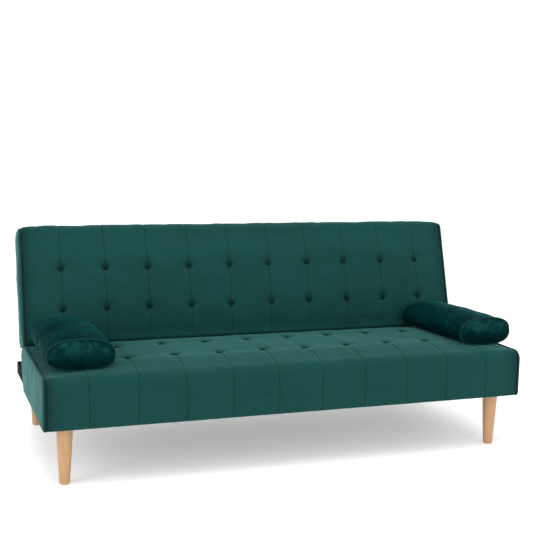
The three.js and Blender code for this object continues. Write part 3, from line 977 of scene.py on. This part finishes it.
def grown(name, source, group, values):
    """The plain mesh that a geometry tree makes from the source object, which is used up."""
    modifier = source.modifiers.new(group.name, "NODES")
    modifier.node_group = group
    for item in group.interface.items_tree:
        if item.item_type == "SOCKET" and item.in_out == "INPUT" and item.name in values:
            modifier[item.identifier] = values[item.name]
    graph = bpy.context.evaluated_depsgraph_get()
    mesh = bpy.data.meshes.new_from_object(source.evaluated_get(graph))
    bpy.data.objects.remove(source)
    if not mesh.polygons:
        raise RuntimeError(f"{name}: the {group.name} tree made nothing")
    mesh.name = name
    bm = bmesh.new()
    bm.from_mesh(mesh)
    bmesh.ops.remove_doubles(bm, verts=bm.verts, dist=1e-6)
    written(bm, mesh)
    obj = bpy.data.objects.new(name, mesh)
    bpy.context.scene.collection.objects.link(obj)
    return obj


def path_object(paths, closed):
    """Edges along each path of points, as an object for a geometry tree."""
    points, edges = [], []
    for path in paths:
        start = len(points)
        points += [tuple(p) for p in path]
        edges += [(start + i, start + i + 1) for i in range(len(path) - 1)]
        if closed:
            edges.append((len(points) - 1, start))
    mesh = bpy.data.meshes.new("path")
    mesh.from_pydata(points, edges, [])
    obj = bpy.data.objects.new("path", mesh)
    bpy.context.scene.collection.objects.link(obj)
    return obj


def piping(name, paths, closed, radius, material):
    tree = geometry_tree("Piping", build_piping, {"Radius": "Float", "Sides": "Int"})
    values = {"Radius": radius, "Sides": 10, "Material": finish(material)}
    return grown(name, path_object(paths, closed), tree, values)


# ---- Seat ----------------------------------------------------------------------------


def seat_lift(loop, sizes):
    """How far the padded seat stands off its outline, and the painted shade of its sewn lines,
    buttons and piped ends.
    """
    along = lengths(loop)
    crest = nearest(loop, 0, SEAT_TOP - 0.032)
    slope = nearest(loop, SLOPE_TOP, SEAT_TOP)
    tail = nearest(loop, TAIL, PIVOT.z)
    rows = [along[nearest(loop, y, SEAT_TOP)] for y in SEAT_ROWS]
    s_crest, s_slope, s_tail = along[crest], along[slope], along[tail]

    def plain(s):
        return 1 - 0.7 * smoothstep(s, rows[0] - 0.04, rows[0] + 0.04)

    def lift(x, s):
        top = smoothstep(s, s_crest - 0.01, s_crest + 0.17)
        top = top * (1 - smoothstep(s, s_slope - 0.11, s_slope - 0.012))
        face = np.clip(np.sin(math.pi * np.clip(s / s_crest, 0, 1)), 0, 1)
        crown = sizes.seat_crown * top * end_rise(x, 0.42) + 0.005 * face * end_rise(x, 0.1)
        quilted, _ = quilting(x, s, rows, sizes, SEAT_SWAY, plain(s))
        shown = smoothstep(s, 0.0, 0.02) * (1 - smoothstep(s, s_slope - 0.05, s_slope - 0.005))
        waves = 0.0007 * ripple(x, s, 0.22, 11) + 0.0003 * ripple(x, s, 0.06, 12)
        visible = 1 - smoothstep(s, s_tail - 0.01, s_tail)
        roll = end_roll(x) * visible
        return (crown + (quilted + waves - 0.0015) * shown) - roll - 0.0006 * visible

    def marks(x, s):
        _, sewn = quilting(x, s, rows, sizes, SEAT_SWAY, plain(s))
        sewn = np.maximum(sewn, end_shade(x))
        return sewn * (1 - smoothstep(s, s_slope - 0.01, s_slope))

    return lift, marks


def bolster_places(sizes):
    """Each bolster's name, middle and turn about Z."""
    places = []
    for name, turn, slid in zip(BOLSTERS, (0.0, 5.5), (0.0, 0.012)):
        low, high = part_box(name)
        middle = (low + high) / 2
        middle.x += slid
        middle.z += sizes.bolster_rise
        places.append((name, middle, math.radians(turn)))
    return places


def under_bolsters():
    """A function that gives the height of the bolsters' underside over a place on the seat, or a
    great height where nothing lies on it."""
    trees = []
    for name in BOLSTERS:
        for part in ("cover", "piping"):
            mesh = bpy.data.objects[f"{name}_{part}"].data
            corners = [v.co for v in mesh.vertices]
            trees.append(BVHTree.FromPolygons(corners, [p.vertices[:] for p in mesh.polygons]))

    def height(x, y, reach):
        heights = [10.0]
        for dx, dy in ((0, 0), (1, 0), (-1, 0), (0, 1), (0, -1)):
            start = Vector((x + dx * reach, y + dy * reach, SEAT_TOP - 0.040))
            hits = [tree.ray_cast(start, Vector((0, 0, 1)))[0] for tree in trees]
            heights += [hit.z for hit in hits if hit]
        return min(heights)

    return height


def build_seat(sizes):
    loop = seat_cover_outline()
    lift, marks = seat_lift(loop, sizes)
    cover = swept_cover("seat_cover", loop, stations(sizes), lift, on_seat, marks)
    points = read_points(cover.data)
    height = under_bolsters()
    for i in np.flatnonzero(points[:, 2] > SEAT_TOP - 0.035):
        under = height(points[i, 0], points[i, 1], PRESS_REACH) - PRESS_GAP
        points[i, 2] = min(points[i, 2], under)
    write_points(cover.data, points)
    # Pockets for the hinges and the arms that swing in them
    pocket_inside = HALF_LENGTH - 0.038
    front, step, rear = FRONT + 0.495, FRONT + 0.560, FRONT + 0.700
    roof = SEAT_TOP - 0.023
    outline = [(front, 0), (front, roof), (step, roof), (step, 0.6), (rear, 0.6), (rear, 0)]
    cut_away(cover, [(-1, -pocket_inside, outline), (pocket_inside, 1, outline)])
    smooth_shading(cover.data, COVER_EDGE)
    assign(cover, "base", ["seat_cushion", "seat_front_border"])


def read_points(mesh):
    flat = np.empty(len(mesh.vertices) * 3)
    mesh.vertices.foreach_get("co", flat)
    return flat.reshape(-1, 3)


def write_points(mesh, points):
    mesh.vertices.foreach_set("co", points.ravel())
    mesh.update()


class SOFA_OT_seat(bpy.types.Operator):
    """Sewn and buttoned cover of the seat"""

    bl_idname = "sofa.seat"
    bl_label = "Seat cover"

    def execute(self, context):
        build_seat(context.scene.sofa_sizes)
        return {"FINISHED"}


# ---- Back ----------------------------------------------------------------------------


def back_lift(loop, sizes):
    """How far the padded back stands off its outline, and the painted shade of its sewn lines,
    buttons and piped ends.
    """
    along = lengths(loop)
    low = along[nearest(loop, BACK_FACE, BACK_LOW + 0.012)]
    crest = along[nearest(loop, BACK_FACE, BACK_TOP - 0.023)]
    lip_end = along[nearest(loop, BACK_REAR_TOP, BACK_TOP + BACK_LIP)]
    rows = [along[nearest(loop, BACK_FACE, b)] for b in BACK_ROWS]
    top_line = along[nearest(loop, BACK_FACE + 0.03, BACK_TOP + BACK_LIP)]

    def lift(x, s):
        face = smoothstep(s, low - 0.012, low + 0.13)
        face = face * (1 - smoothstep(s, crest - 0.12, crest + 0.015))
        crown = sizes.back_crown * (0.15 + 0.85 * face) * end_rise(x, 0.34)
        shown = smoothstep(s, low - 0.010, low + 0.03)
        shown = shown * (1 - smoothstep(s, top_line, top_line + 0.03))
        over = smoothstep(s, crest, top_line)
        crown = crown * smoothstep(s, low - 0.010, low + 0.05) * (1 - over)
        top = 0.0025 * over * (1 - smoothstep(s, lip_end - 0.02, lip_end))
        quilted, _ = quilting(x, s, rows, sizes, BACK_SWAY)
        waves = 0.0011 * ripple(x, s, 0.20, 21) + 0.0004 * ripple(x, s, 0.055, 22)
        visible = 1 - smoothstep(s, lip_end - 0.004, lip_end)
        roll = end_roll(x) * visible * smoothstep(s, low - 0.02, low)
        drop = END_DROP * over * visible * (1 - end_rise(x, 0.10))
        return crown + top * end_rise(x, 0.1) + (quilted + waves - 0.0010) * shown - roll - drop

    def marks(x, s):
        _, sewn = quilting(x, s, rows, sizes, BACK_SWAY)
        sewn = np.maximum(sewn, end_shade(x))
        return sewn * (1 - smoothstep(s, top_line - 0.006, top_line + 0.004))

    return lift, marks


def build_back(sizes):
    loop = back_cover_outline()
    lift, marks = back_lift(loop, sizes)
    cover = swept_cover("back_cover", loop, stations(sizes), lift, on_back, marks)
    assign(cover, "back", ["back_cushion"])

    rear_loop = rear_cover_outline()
    rear_along = lengths(rear_loop)
    face_end = rear_along[nearest(rear_loop, BACK_REAR_LOW, BACK_LOW)]

    def rear_lift(x, s):
        shown = smoothstep(s, 0.004, 0.05)
        shown = shown * (1 - smoothstep(s, face_end - 0.05, face_end - 0.002))
        seam = np.exp(-((x / 0.002) ** 2)) + np.exp(-np.abs(x) / 0.02) * 0.3
        folds = 0.0010 * ripple(x, s, 0.30, 31) + 0.0004 * ripple(x, s * 0.4, 0.05, 32)
        dent = 1 - np.exp(-(((np.abs(x) - REST_PLACE) / 0.045) ** 4))
        drop = END_DROP * (1 - smoothstep(s, 0.004, 0.03)) * (1 - end_rise(x, 0.10))
        return (0.0035 * end_rise(x, 0.25) + folds - 0.0016 * seam) * shown * dent - drop

    places = np.linspace(-HALF_LENGTH, HALF_LENGTH, 301)
    rear = swept_cover("back_rear_cover", rear_loop, places, rear_lift, on_back)
    assign(rear, "back", ["back_rear_panel"])


class SOFA_OT_back(bpy.types.Operator):
    """Sewn and buttoned front cover of the back, and its plain rear cover"""

    bl_idname = "sofa.back"
    bl_label = "Back covers"

    def execute(self, context):
        build_back(context.scene.sofa_sizes)
        return {"FINISHED"}


# ---- Side panels and piping ----------------------------------------------------------


def build_sides(sizes):
    radius = sizes.piping_radius
    seat_loop = seat_panel_outline()
    back_loop = back_panel_outline()
    heel = nearest(seat_loop, HEEL, UNDERSIDE)
    for label, side in (("left", -1), ("right", 1)):
        seed = 41 if side < 0 else 51
        bulge = sizes.panel_bulge
        panel = padded_panel(f"seat_side_{label}", seat_loop, side, on_seat, bulge, seed)
        assign(panel, "base", [f"seat_side_panel_{label}"])
        bulge = sizes.panel_bulge * 0.7
        panel = padded_panel(f"back_side_{label}", back_loop, side, on_back, bulge, seed + 4)
        assign(panel, "back", [f"back_side_panel_{label}"])

        x = side * (PANEL_INSIDE + 0.0012)
        inset = seat_loop - normals(seat_loop) * (radius - 0.0008)
        path = on_seat(inset[:heel, 0], x, inset[:heel, 1])
        cord = piping(f"seat_piping_{label}", [path], False, radius, "Velvet piping")
        assign(cord, "base")
        sunk = np.where(back_loop[:, 1] < BACK_LOW + 0.030, 0.0022, 0)[:, None]
        inset = back_loop - normals(back_loop) * (radius - 0.0012 + sunk)
        path = on_back(inset[:, 0], x, inset[:, 1])
        cord = piping(f"back_piping_{label}", [path], True, radius, "Velvet piping")
        assign(cord, "back")


class SOFA_OT_sides(bpy.types.Operator):
    """Padded side panels of the seat and back, with their piping"""

    bl_idname = "sofa.sides"
    bl_label = "Side panels and piping"

    def execute(self, context):
        build_sides(context.scene.sofa_sizes)
        return {"FINISHED"}


# ---- Buttons -------------------------------------------------------------------------


def turned_mesh(name, profile, segments):
    """A mesh turned about Z from (radius, height) points that start and end on the axis."""
    bm = bmesh.new()
    rings = []
    for radius, height in profile:
        if radius <= 1e-9:
            rings.append([bm.verts.new((0, 0, height))])
            continue
        turn = [2 * math.pi * i / segments for i in range(segments)]
        ring = [(radius * math.cos(a), radius * math.sin(a), height) for a in turn]
        rings.append([bm.verts.new(point) for point in ring])
    for low, high in zip(rings, rings[1:]):
        for i in range(segments):
            j = (i + 1) % segments
            corners = [low[i % len(low)], low[j % len(low)]]
            corners += [high[j % len(high)], high[i % len(high)]]
            unique = list(dict.fromkeys(corners))
            if len(unique) > 2:
                bm.faces.new(unique)
    return written(bm, bpy.data.meshes.new(name))


def button_mesh():
    """A covered button one unit in radius: a domed face, rolled rim and gathered underside."""
    radii = (0, 0.55, 0.85, 0.97, 1.0, 0.96, 0.86, 0.70, 0.50, 0.28, 0)
    heights = (-0.30, -0.28, -0.20, -0.06, 0.06, 0.22, 0.36, 0.48, 0.56, 0.605, BUTTON_DOME)
    mesh = turned_mesh("button", zip(radii, heights), 24)
    for vertex in mesh.vertices:
        reach = math.hypot(vertex.co.x, vertex.co.y)
        if reach > 0.9:
            angle = math.atan2(vertex.co.y, vertex.co.x)
            vertex.co *= 1 + 0.012 * math.sin(12 * angle)
    return mesh


def build_buttons(sizes):
    under = under_bolsters()
    cap = bpy.data.objects.new("button", button_mesh())
    bpy.context.scene.collection.objects.link(cap)
    seams = seam_places(sizes)
    seat_loop, back_loop = seat_cover_outline(), back_cover_outline()
    seat_rows = [(across, SEAT_TOP) for across in SEAT_ROWS]
    back_rows = [(BACK_FACE, up) for up in BACK_ROWS]
    tree = geometry_tree("Buttons", spread_buttons, {"Button": "Object", "Size": "Float"})
    groups = (
        ("seat_buttons", "base", seat_loop, seat_lift, seat_rows, on_seat, SEAT_SWAY),
        ("back_buttons", "back", back_loop, back_lift, back_rows, on_back, BACK_SWAY),
    )
    for name, body, loop, lift_of, rows, to_frame, seed in groups:
        lift, _ = lift_of(loop, sizes)
        along, outward = lengths(loop), normals(loop)
        points, facing = [], []
        for y, z in rows:
            i = nearest(loop, y, z)
            for k, seam in enumerate(seams):
                s = along[i]
                x = seam + float(seam_sway(k, s, seed))
                around = np.array([[x - sizes.button_radius], [x + sizes.button_radius]])
                height = float(lift(around, np.array([[s]])).mean()) - BUTTON_SUNK
                base = loop[i] + outward[i] * height
                tip = base + outward[i]
                start, end = to_frame(base[0], x, base[1]), to_frame(tip[0], x, tip[1])
                if body == "base":
                    dome = BUTTON_DOME * sizes.button_radius + PRESS_GAP
                    room = under(start[0], start[1], sizes.button_radius)
                    start[2] = min(start[2], room - dome)
                points.append(start)
                facing.append(end - start)
        mesh = bpy.data.meshes.new("button places")
        mesh.from_pydata([tuple(p) for p in points], [], [])
        layer = mesh.attributes.new("facing", "FLOAT_VECTOR", "POINT")
        layer.data.foreach_set("vector", np.array(facing, np.float32).ravel())
        source = bpy.data.objects.new("button places", mesh)
        bpy.context.scene.collection.objects.link(source)
        values = {"Button": cap, "Size": sizes.button_radius, "Material": finish("Button velvet")}
        assign(grown(name, source, tree, values), body)
    bpy.data.objects.remove(cap)


class SOFA_OT_buttons(bpy.types.Operator):
    """Covered buttons along the sewn lines of the seat and back"""

    bl_idname = "sofa.buttons"
    bl_label = "Buttons"

    def execute(self, context):
        build_buttons(context.scene.sofa_sizes)
        return {"FINISHED"}


# ---- Bolsters ------------------------------------------------------------------------


def puff_up(obj, pressure, most, held):
    """Blows a cloth up under its own pressure, holding one vertex group and moving no point
    further than most."""
    rest = read_points(obj.data)
    scene = bpy.context.scene
    cloth = obj.modifiers.new("Cloth", "CLOTH")
    settings = cloth.settings
    settings.quality = 6
    settings.mass = 0.25
    settings.tension_stiffness = settings.compression_stiffness = 14
    settings.shear_stiffness = 6
    settings.bending_stiffness = 0.25
    settings.use_pressure = True
    settings.uniform_pressure_force = pressure
    settings.effector_weights.gravity = 0
    settings.vertex_group_mass = held
    cloth.point_cache.frame_start = 1
    cloth.point_cache.frame_end = SIM_FRAMES
    for number in range(1, SIM_FRAMES + 1):
        scene.frame_set(number)
    graph = bpy.context.evaluated_depsgraph_get()
    swollen = read_points(obj.evaluated_get(graph).data)
    obj.modifiers.remove(cloth)
    scene.frame_set(1)
    move = swollen - rest
    far = np.linalg.norm(move, axis=1)
    move *= np.minimum(1, most / np.maximum(far, 1e-9))[:, None]
    write_points(obj.data, rest + move)


def bolster_shape(name, half):
    """A bolster round its own middle, and the numbers of the points on its two end seams."""
    around, along = 112, 66
    rim = half.y - BOLSTER_DOME
    angle = np.linspace(0, 2 * math.pi, around, endpoint=False)
    cosine, sine = np.cos(angle), np.sin(angle)
    blunt = np.where(cosine > 0, 0.74, 0.86)
    flat = np.where(sine < 0, 0.66, 0.86)
    wide = np.sign(cosine) * np.abs(cosine) ** blunt
    high = np.sign(sine) * np.abs(sine) ** flat
    shares = (0.12, 0.30, 0.48, 0.64, 0.78, 0.89, 0.96)
    rings = [(share, 1.0) for share in shares]
    rings += [(1.0, y) for y in np.linspace(1, -1, along)]
    rings += [(share, -1.0) for share in reversed(shares)]
    points = []
    for share, y in rings:
        waist = 1 - 0.045 * smoothstep(abs(y), 0.72, 1.0)
        dome = BOLSTER_DOME * (1 - share**2)
        x = wide * share * (half.x - 0.002) * waist
        z = high * share * (half.z - 0.002) * waist
        ring_y = y * rim + math.copysign(dome, y)
        points.append(np.stack([x, np.full(around, ring_y), z], 1))
    points = np.concatenate(points)
    ids, ahead, faces = ring_faces(len(rings), around)
    first, last = len(points), len(points) + 1
    tips = [points[ids[0]].mean(0), points[ids[-1]].mean(0)]
    faces += [[first, ids[0][j], ahead[0][j]] for j in range(around)]
    faces += [[last, ahead[-1][j], ids[-1][j]] for j in range(around)]
    mesh = closed_mesh(name, np.concatenate([points, tips]), faces)
    return mesh, [ids[len(shares)], ids[len(shares) + along - 1]]


def gather(points, half, seed):
    """Small pleats that run in from the end seams, and soft lengthwise creases."""
    rng = np.random.default_rng(seed)
    theta = np.arctan2(points[:, 2] / half.z, points[:, 0] / half.x)
    pleats = sum(
        rng.uniform(0.4, 1.0) * np.sin(n * theta + rng.uniform(0, 2 * math.pi))
        for n in (9, 14, 19, 23, 31)
    )
    end = half.y - BOLSTER_DOME
    distance = np.abs(np.abs(points[:, 1]) - end)
    reach = np.hypot(points[:, 0] / half.x, points[:, 2] / half.z)
    on_cap = np.abs(points[:, 1]) > end - 0.004
    spread = np.where(on_cap, np.abs(1 - reach) / 0.32, distance / 0.045)
    strength = np.exp(-(spread**2)) * (1 - np.exp(-((spread / 0.12) ** 2)))
    outward = points / np.linalg.norm(points, axis=1)[:, None]
    outward[on_cap] = 0
    outward[on_cap, 1] = np.sign(points[on_cap, 1])
    soft = ripple(points[:, 1], theta * 0.1, 0.16, seed) * 0.0018 * (1 - np.exp(-distance / 0.02))
    folded = ripple(points[:, 1] * 0.5, theta * 0.11, 0.05, seed + 1) * 0.0007
    return points + outward * (0.0011 * pleats * strength + soft + folded)[:, None]


def build_bolsters(sizes):
    half = BOLSTER_HALF
    knee = 0.004  # over which the underside flattens
    looks = ((61, 0.15), (71, 1.0))  # seed, and how strong the painted sheen on the upper flank is
    for (name, middle, turn), (seed, flank_sheen) in zip(bolster_places(sizes), looks):
        mesh, seams = bolster_shape(name, half)
        obj = new_object(f"{name}_cover", mesh, finish("Bolster velvet"))
        group = obj.vertex_groups.new(name="sewn ends")
        group.add([int(i) for ring in seams for i in ring], 1.0, "REPLACE")
        puff_up(obj, 4.0, 0.012, group.name)
        shape = gather(read_points(mesh), half, seed)
        floor = -half.z - 0.0002 + knee
        low = shape[:, 2] < floor
        shape[low, 2] = floor - knee * (1 - np.exp(-(floor - shape[low, 2]) / knee))
        centre = np.array(middle)
        spin = np.array(Matrix.Rotation(turn, 3, "Z"))
        points = shape @ spin.T + centre
        # Painted sheen: the end panels lighter towards their top, and a lighter band along the
        # upper flank, full on the right bolster and faint on the left.
        cap = np.abs(shape[:, 1]) > half.y - 0.0115
        raised = cap * 0.70 * smoothstep(shape[:, 2] / half.z, -0.5, 0.6)
        slant = np.arctan2(shape[:, 2] / half.z, shape[:, 0] / half.x)
        flank = np.exp(-(((slant - 1.25) / 0.50) ** 2))
        flank = flank * (1 - 0.6 * smoothstep(shape[:, 1], 0, half.y))
        raised = raised + (1 - cap) * flank_sheen * flank
        # Painted shade along the end seams, beside the piping.
        sewn = np.zeros(len(points))
        sewn[np.concatenate(seams)] = 0.6
        write_points(mesh, points)
        set_attribute(mesh, "sewn", sewn)
        set_attribute(mesh, "raised", raised)
        obj.vertex_groups.clear()
        subdivide = obj.modifiers.new("Smooth cloth", "SUBSURF")
        subdivide.levels = subdivide.render_levels = 1
        bake_modifiers(obj)
        smooth_shading(obj.data)
        radius = sizes.piping_radius * 0.75
        paths = []
        for ring in seams:
            rim = points[ring]
            away = rim - centre
            end = np.sign(away @ spin[:, 1]).mean() * spin[:, 1]
            flat = away - np.outer(away @ spin[:, 1], spin[:, 1])
            flat /= np.linalg.norm(flat, axis=1)[:, None]
            for shift in (-0.0026, 0.0030):
                paths.append(rim + flat * (radius * 0.35) + end * shift)
        cord = piping(f"{name}_piping", paths, True, radius, "Bolster piping")
        assign(obj, name, [name])
        assign(cord, name)


class SOFA_OT_bolsters(bpy.types.Operator):
    """Two stuffed bolsters with piped ends"""

    bl_idname = "sofa.bolsters"
    bl_label = "Bolsters"

    def execute(self, context):
        build_bolsters(context.scene.sofa_sizes)
        return {"FINISHED"}


# ---- Legs ----------------------------------------------------------------------------


def build_legs():
    foot_radius, top_radius = 0.0175, 0.029
    bore_radius, bore_depth = 0.0043, 0.0553
    edge = 0.0035
    for place in ("front_left", "front_right", "rear_left", "rear_right"):
        low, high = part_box(f"leg_{place}")
        height = high.z - low.z
        profile = [(0, 0.0), (foot_radius - edge - 0.003, 0.0), (foot_radius - edge, 0.0)]
        for angle in (18, 36, 54, 72, 90):
            out, up = edge * math.sin(math.radians(angle)), edge * math.cos(math.radians(angle))
            profile.append((foot_radius - edge + out, edge - up))
        for t in np.linspace(0.06, 0.985, 22):
            swell = 0.0006 * math.sin(math.pi * t)
            profile.append((foot_radius + (top_radius - foot_radius) * t + swell, height * t))
        profile += [(top_radius, height * 0.994), (top_radius - 0.0006, height - 0.0003)]
        profile += [(top_radius - 0.002, height), (bore_radius + 0.001, height)]
        profile += [(bore_radius, height - 0.001), (bore_radius, height - bore_depth)]
        profile += [(0, height - bore_depth)]
        mesh = turned_mesh(f"leg_{place}_beech", profile, 72)
        middle = (low + high) / 2
        mesh.transform(Matrix.Translation((middle.x, middle.y, low.z)))
        smooth_shading(mesh, math.radians(40))
        leg = new_object(f"leg_{place}_beech", mesh, finish("Beech"))
        assign(leg, "base", [f"leg_{place}"])


class SOFA_OT_legs(bpy.types.Operator):
    """Four turned beech legs"""

    bl_idname = "sofa.legs"
    bl_label = "Legs"

    def execute(self, context):
        build_legs()
        return {"FINISHED"}


# ---- Base ----------------------------------------------------------------------------


def wrapped_rail(name, node, seed):
    """A rail in stapled black cloth: soft edges and shallow folds."""
    low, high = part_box(node)
    slack = 0.0004
    fold = 0.0009
    bm = bmesh.new()
    size = high - low - Vector((slack, slack, slack)) * 2
    place = Matrix.Translation((low + high) / 2) @ Matrix.Diagonal((*size, 1))
    bmesh.ops.create_cube(bm, size=1, matrix=place)
    longest = max(range(3), key=lambda axis: size[axis])
    long_edges = [
        e for e in bm.edges if abs((e.verts[0].co - e.verts[1].co)[longest]) > size[longest] * 0.9
    ]
    cuts = int(size[longest] / 0.012)
    bmesh.ops.subdivide_edges(bm, edges=long_edges, cuts=cuts, use_grid_fill=True)
    sharp = [e for e in bm.edges if e.calc_face_angle(0) > 1]
    bmesh.ops.bevel(bm, geom=sharp, offset=0.0032, segments=3, affect="EDGES", profile=0.6)
    wide = [e for e in bm.edges if e.calc_length() > 0.016]
    bmesh.ops.subdivide_edges(bm, edges=wide, cuts=3, use_grid_fill=True)
    mesh = bpy.data.meshes.new(name)
    bmesh.ops.recalc_face_normals(bm, faces=bm.faces)
    bm.normal_update()
    for vertex in bm.verts:
        u = vertex.co[longest]
        v = vertex.co.z + (vertex.co.x + vertex.co.y - u) * 0.7
        dip = 0.5 + 0.5 * float(ripple(u, v * 2, 0.05, seed)) / 1.6
        vertex.co -= vertex.normal * fold * min(max(dip, 0), 1)
    bm.to_mesh(mesh)
    bm.free()
    smooth_shading(mesh, math.radians(45))
    return new_object(name, mesh, finish("Black cloth"))


def bar_mesh(length, width, thickness):
    """A staple's crown: a thin bar with its ends turned in."""
    half = length / 2
    bend = thickness * 1.5
    line = [(-half, -bend), (-half + bend, 0), (half - bend, 0), (half, -bend)]
    bm = bmesh.new()
    rings = []
    for x, z in line:
        near, far = -width / 2, width / 2
        corners = [(near, 0), (far, 0), (far, thickness), (near, thickness)]
        rings.append([bm.verts.new((x, y, z + t)) for y, t in corners])
    for a, b in zip(rings, rings[1:]):
        for i in range(4):
            bm.faces.new((a[i], a[(i + 1) % 4], b[(i + 1) % 4], b[i]))
    bm.faces.new(rings[0])
    bm.faces.new(rings[-1])
    return written(bm, bpy.data.meshes.new("bar"))


def build_base():
    bore_radius = 0.0035
    for label, seed in (("left", 81), ("right", 82), ("rear", 83)):
        node = f"base_rail_{label}"
        rail = wrapped_rail(f"{label}_rail_wrapped", node, seed)
        if label != "rear":
            bores = []
            for number in (1, 2):
                low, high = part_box(f"hinge_plate_bolt_{label}_{number}")
                middle = (low + high) / 2
                turns = np.linspace(0, 2 * math.pi, 24, endpoint=False)
                bore = [
                    (middle.y + bore_radius * math.cos(a), middle.z + bore_radius * math.sin(a))
                    for a in turns
                ]
                bores.append((low.x - 0.0004, high.x + 0.0004, bore))
            cut_away(rail, bores)
        assign(rail, "base", [node])

    low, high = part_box("dust_cover")
    bar = bpy.data.objects.new("staple", bar_mesh(0.010, 0.0012, 0.0006))
    bpy.context.scene.collection.objects.link(bar)
    inset = 0.010
    level = low.z - 0.0008
    left, right, front, rear = low.x + inset, high.x - inset, low.y + inset, high.y - inset
    corners = [(left, front), (right, front), (right, rear), (left, rear)]
    paths = [
        [(*start, level), (*end, level)] for start, end in zip(corners, corners[1:] + corners[:1])
    ]
    values = {"Spacing": 0.045, "Bar": bar, "Material": finish("Zinc steel")}
    sockets = {"Spacing": "Float", "Bar": "Object"}
    tree = geometry_tree("Bars along a path", lay_bars, sockets)
    staples = grown("dust_cover_staples", path_object(paths, False), tree, values)
    bpy.data.objects.remove(bar)
    assign(staples, "base")


class SOFA_OT_base(bpy.types.Operator):
    """Cloth-wrapped base rails and the staples of the dust cover"""

    bl_idname = "sofa.base"
    bl_label = "Wrapped base"

    def execute(self, context):
        build_base()
        return {"FINISHED"}


# ---- Kept frame pieces ---------------------------------------------------------------


KEPT = (
    (("base_rail_", "corner_block_", "seat_slat_", "back_rail_", "back_slat_"), "Timber"),
    (("leg_bolt_", "hinge_", "pawl_"), "Zinc steel"),
    (("dust_cover", "base_rear_cover"), "Black cloth"),
    (("back_rest_",), "Rubber"),
    (("leg_",), "Beech"),
    (("seat_", "back_"), "Velvet"),
    (("bolster_",), "Bolster velvet"),
)


class SOFA_OT_frame(bpy.types.Operator):
    """Finishes of the frame pieces that stay in view"""

    bl_idname = "sofa.frame"
    bl_label = "Frame finishes"

    def execute(self, context):
        for name, node in frame["nodes"].items():
            material = next(material for starts, material in KEPT if name.startswith(starts))
            for slot in node.material_slots:
                slot.material = finish(material)
        return {"FINISHED"}


# ---- Studio --------------------------------------------------------------------------


def area_light(name, place, aim, size, power, colour):
    data = bpy.data.lights.new(name, "AREA")
    data.shape = "RECTANGLE"
    data.size, data.size_y = size
    data.energy = power
    data.color = colour
    light = bpy.data.objects.new(name, data)
    light.location = place
    light.rotation_euler = (Vector(aim) - Vector(place)).to_track_quat("-Z", "Y").to_euler()
    bpy.context.scene.collection.objects.link(light)


def build_stage():
    scene = bpy.context.scene
    scene.view_settings.view_transform = "Standard"
    bm = bmesh.new()
    bmesh.ops.create_circle(bm, cap_ends=True, cap_tris=True, radius=14, segments=96)
    mesh = bpy.data.meshes.new("studio_floor")
    bm.to_mesh(mesh)
    bm.free()
    floor = new_object("studio_floor", mesh, finish("Floor"))

    world = bpy.data.worlds.new("Studio")
    world.use_nodes = True
    background = world.node_tree.nodes["Background"]
    background.inputs["Color"].default_value = (1, 1, 1, 1)
    background.inputs["Strength"].default_value = 1.0
    scene.world = world

    warm = (1, 0.99, 0.97)
    area_light("overhead softbox", (-0.3, -0.6, 3.4), (0, 0.1, 0.3), (3.6, 2.2), 62, warm)
    area_light("left softbox", (-3.6, -1.6, 2.0), (-0.4, 0, 0.4), (1.8, 1.8), 34, (1, 1, 1))
    area_light("front softbox", (1.2, -4.4, 2.0), (0, 0, 0.4), (2.6, 1.8), 26, (1, 0.99, 0.98))

    yaw, pitch, roll = (math.radians(angle) for angle in CAMERA_ANGLES)
    flat = math.cos(pitch)
    forward = Vector((math.sin(yaw) * flat, math.cos(yaw) * flat, -math.sin(pitch)))
    level = Vector((math.cos(yaw), -math.sin(yaw), 0))
    upright = level.cross(forward)
    right = level * math.cos(roll) + upright * math.sin(roll)
    up = upright * math.cos(roll) - level * math.sin(roll)
    data = bpy.data.cameras.new("Camera")
    data.lens = CAMERA_LENS
    data.sensor_width = 36
    data.clip_end = 60
    camera = bpy.data.objects.new("Camera", data)
    turn = Matrix((right, up, -forward)).transposed()
    camera.matrix_world = Matrix.Translation(CAMERA_PLACE) @ turn.to_4x4()
    scene.collection.objects.link(camera)
    scene.camera = camera


class SOFA_OT_stage(bpy.types.Operator):
    """Pale floor, soft lights and camera"""

    bl_idname = "sofa.stage"
    bl_label = "Studio"

    def execute(self, context):
        build_stage()
        return {"FINISHED"}


# ---- Panel and registration ----------------------------------------------------------


OPERATORS = (
    SOFA_OT_frame,
    SOFA_OT_bolsters,
    SOFA_OT_seat,
    SOFA_OT_back,
    SOFA_OT_sides,
    SOFA_OT_buttons,
    SOFA_OT_legs,
    SOFA_OT_base,
    SOFA_OT_stage,
)


class SOFA_PT_panel(bpy.types.Panel):
    """Sizes, colours and steps of the sofa bed"""

    bl_idname = "SOFA_PT_panel"
    bl_label = "Sofa bed"
    bl_space_type = "VIEW_3D"
    bl_region_type = "UI"
    bl_category = "Sofa bed"

    def draw(self, context):
        scene = context.scene
        for settings in (scene.sofa_sizes, scene.sofa_colours):
            column = self.layout.column(align=True)
            for key in settings.__annotations__:
                column.prop(settings, key)
        for operator in OPERATORS:
            self.layout.operator(operator.bl_idname)


CLASSES = (SofaSizes, SofaColours, *OPERATORS, SOFA_PT_panel)


def register():
    for cls in CLASSES:
        bpy.utils.register_class(cls)
    bpy.types.Scene.sofa_sizes = bpy.props.PointerProperty(type=SofaSizes)
    bpy.types.Scene.sofa_colours = bpy.props.PointerProperty(type=SofaColours)


def unregister():
    del bpy.types.Scene.sofa_colours
    del bpy.types.Scene.sofa_sizes
    for cls in reversed(CLASSES):
        bpy.utils.unregister_class(cls)


def main():
    register()
    for operator in OPERATORS:
        family, step = operator.bl_idname.split(".")
        getattr(getattr(bpy.ops, family), step)()


if __name__ == "__main__":
    main()
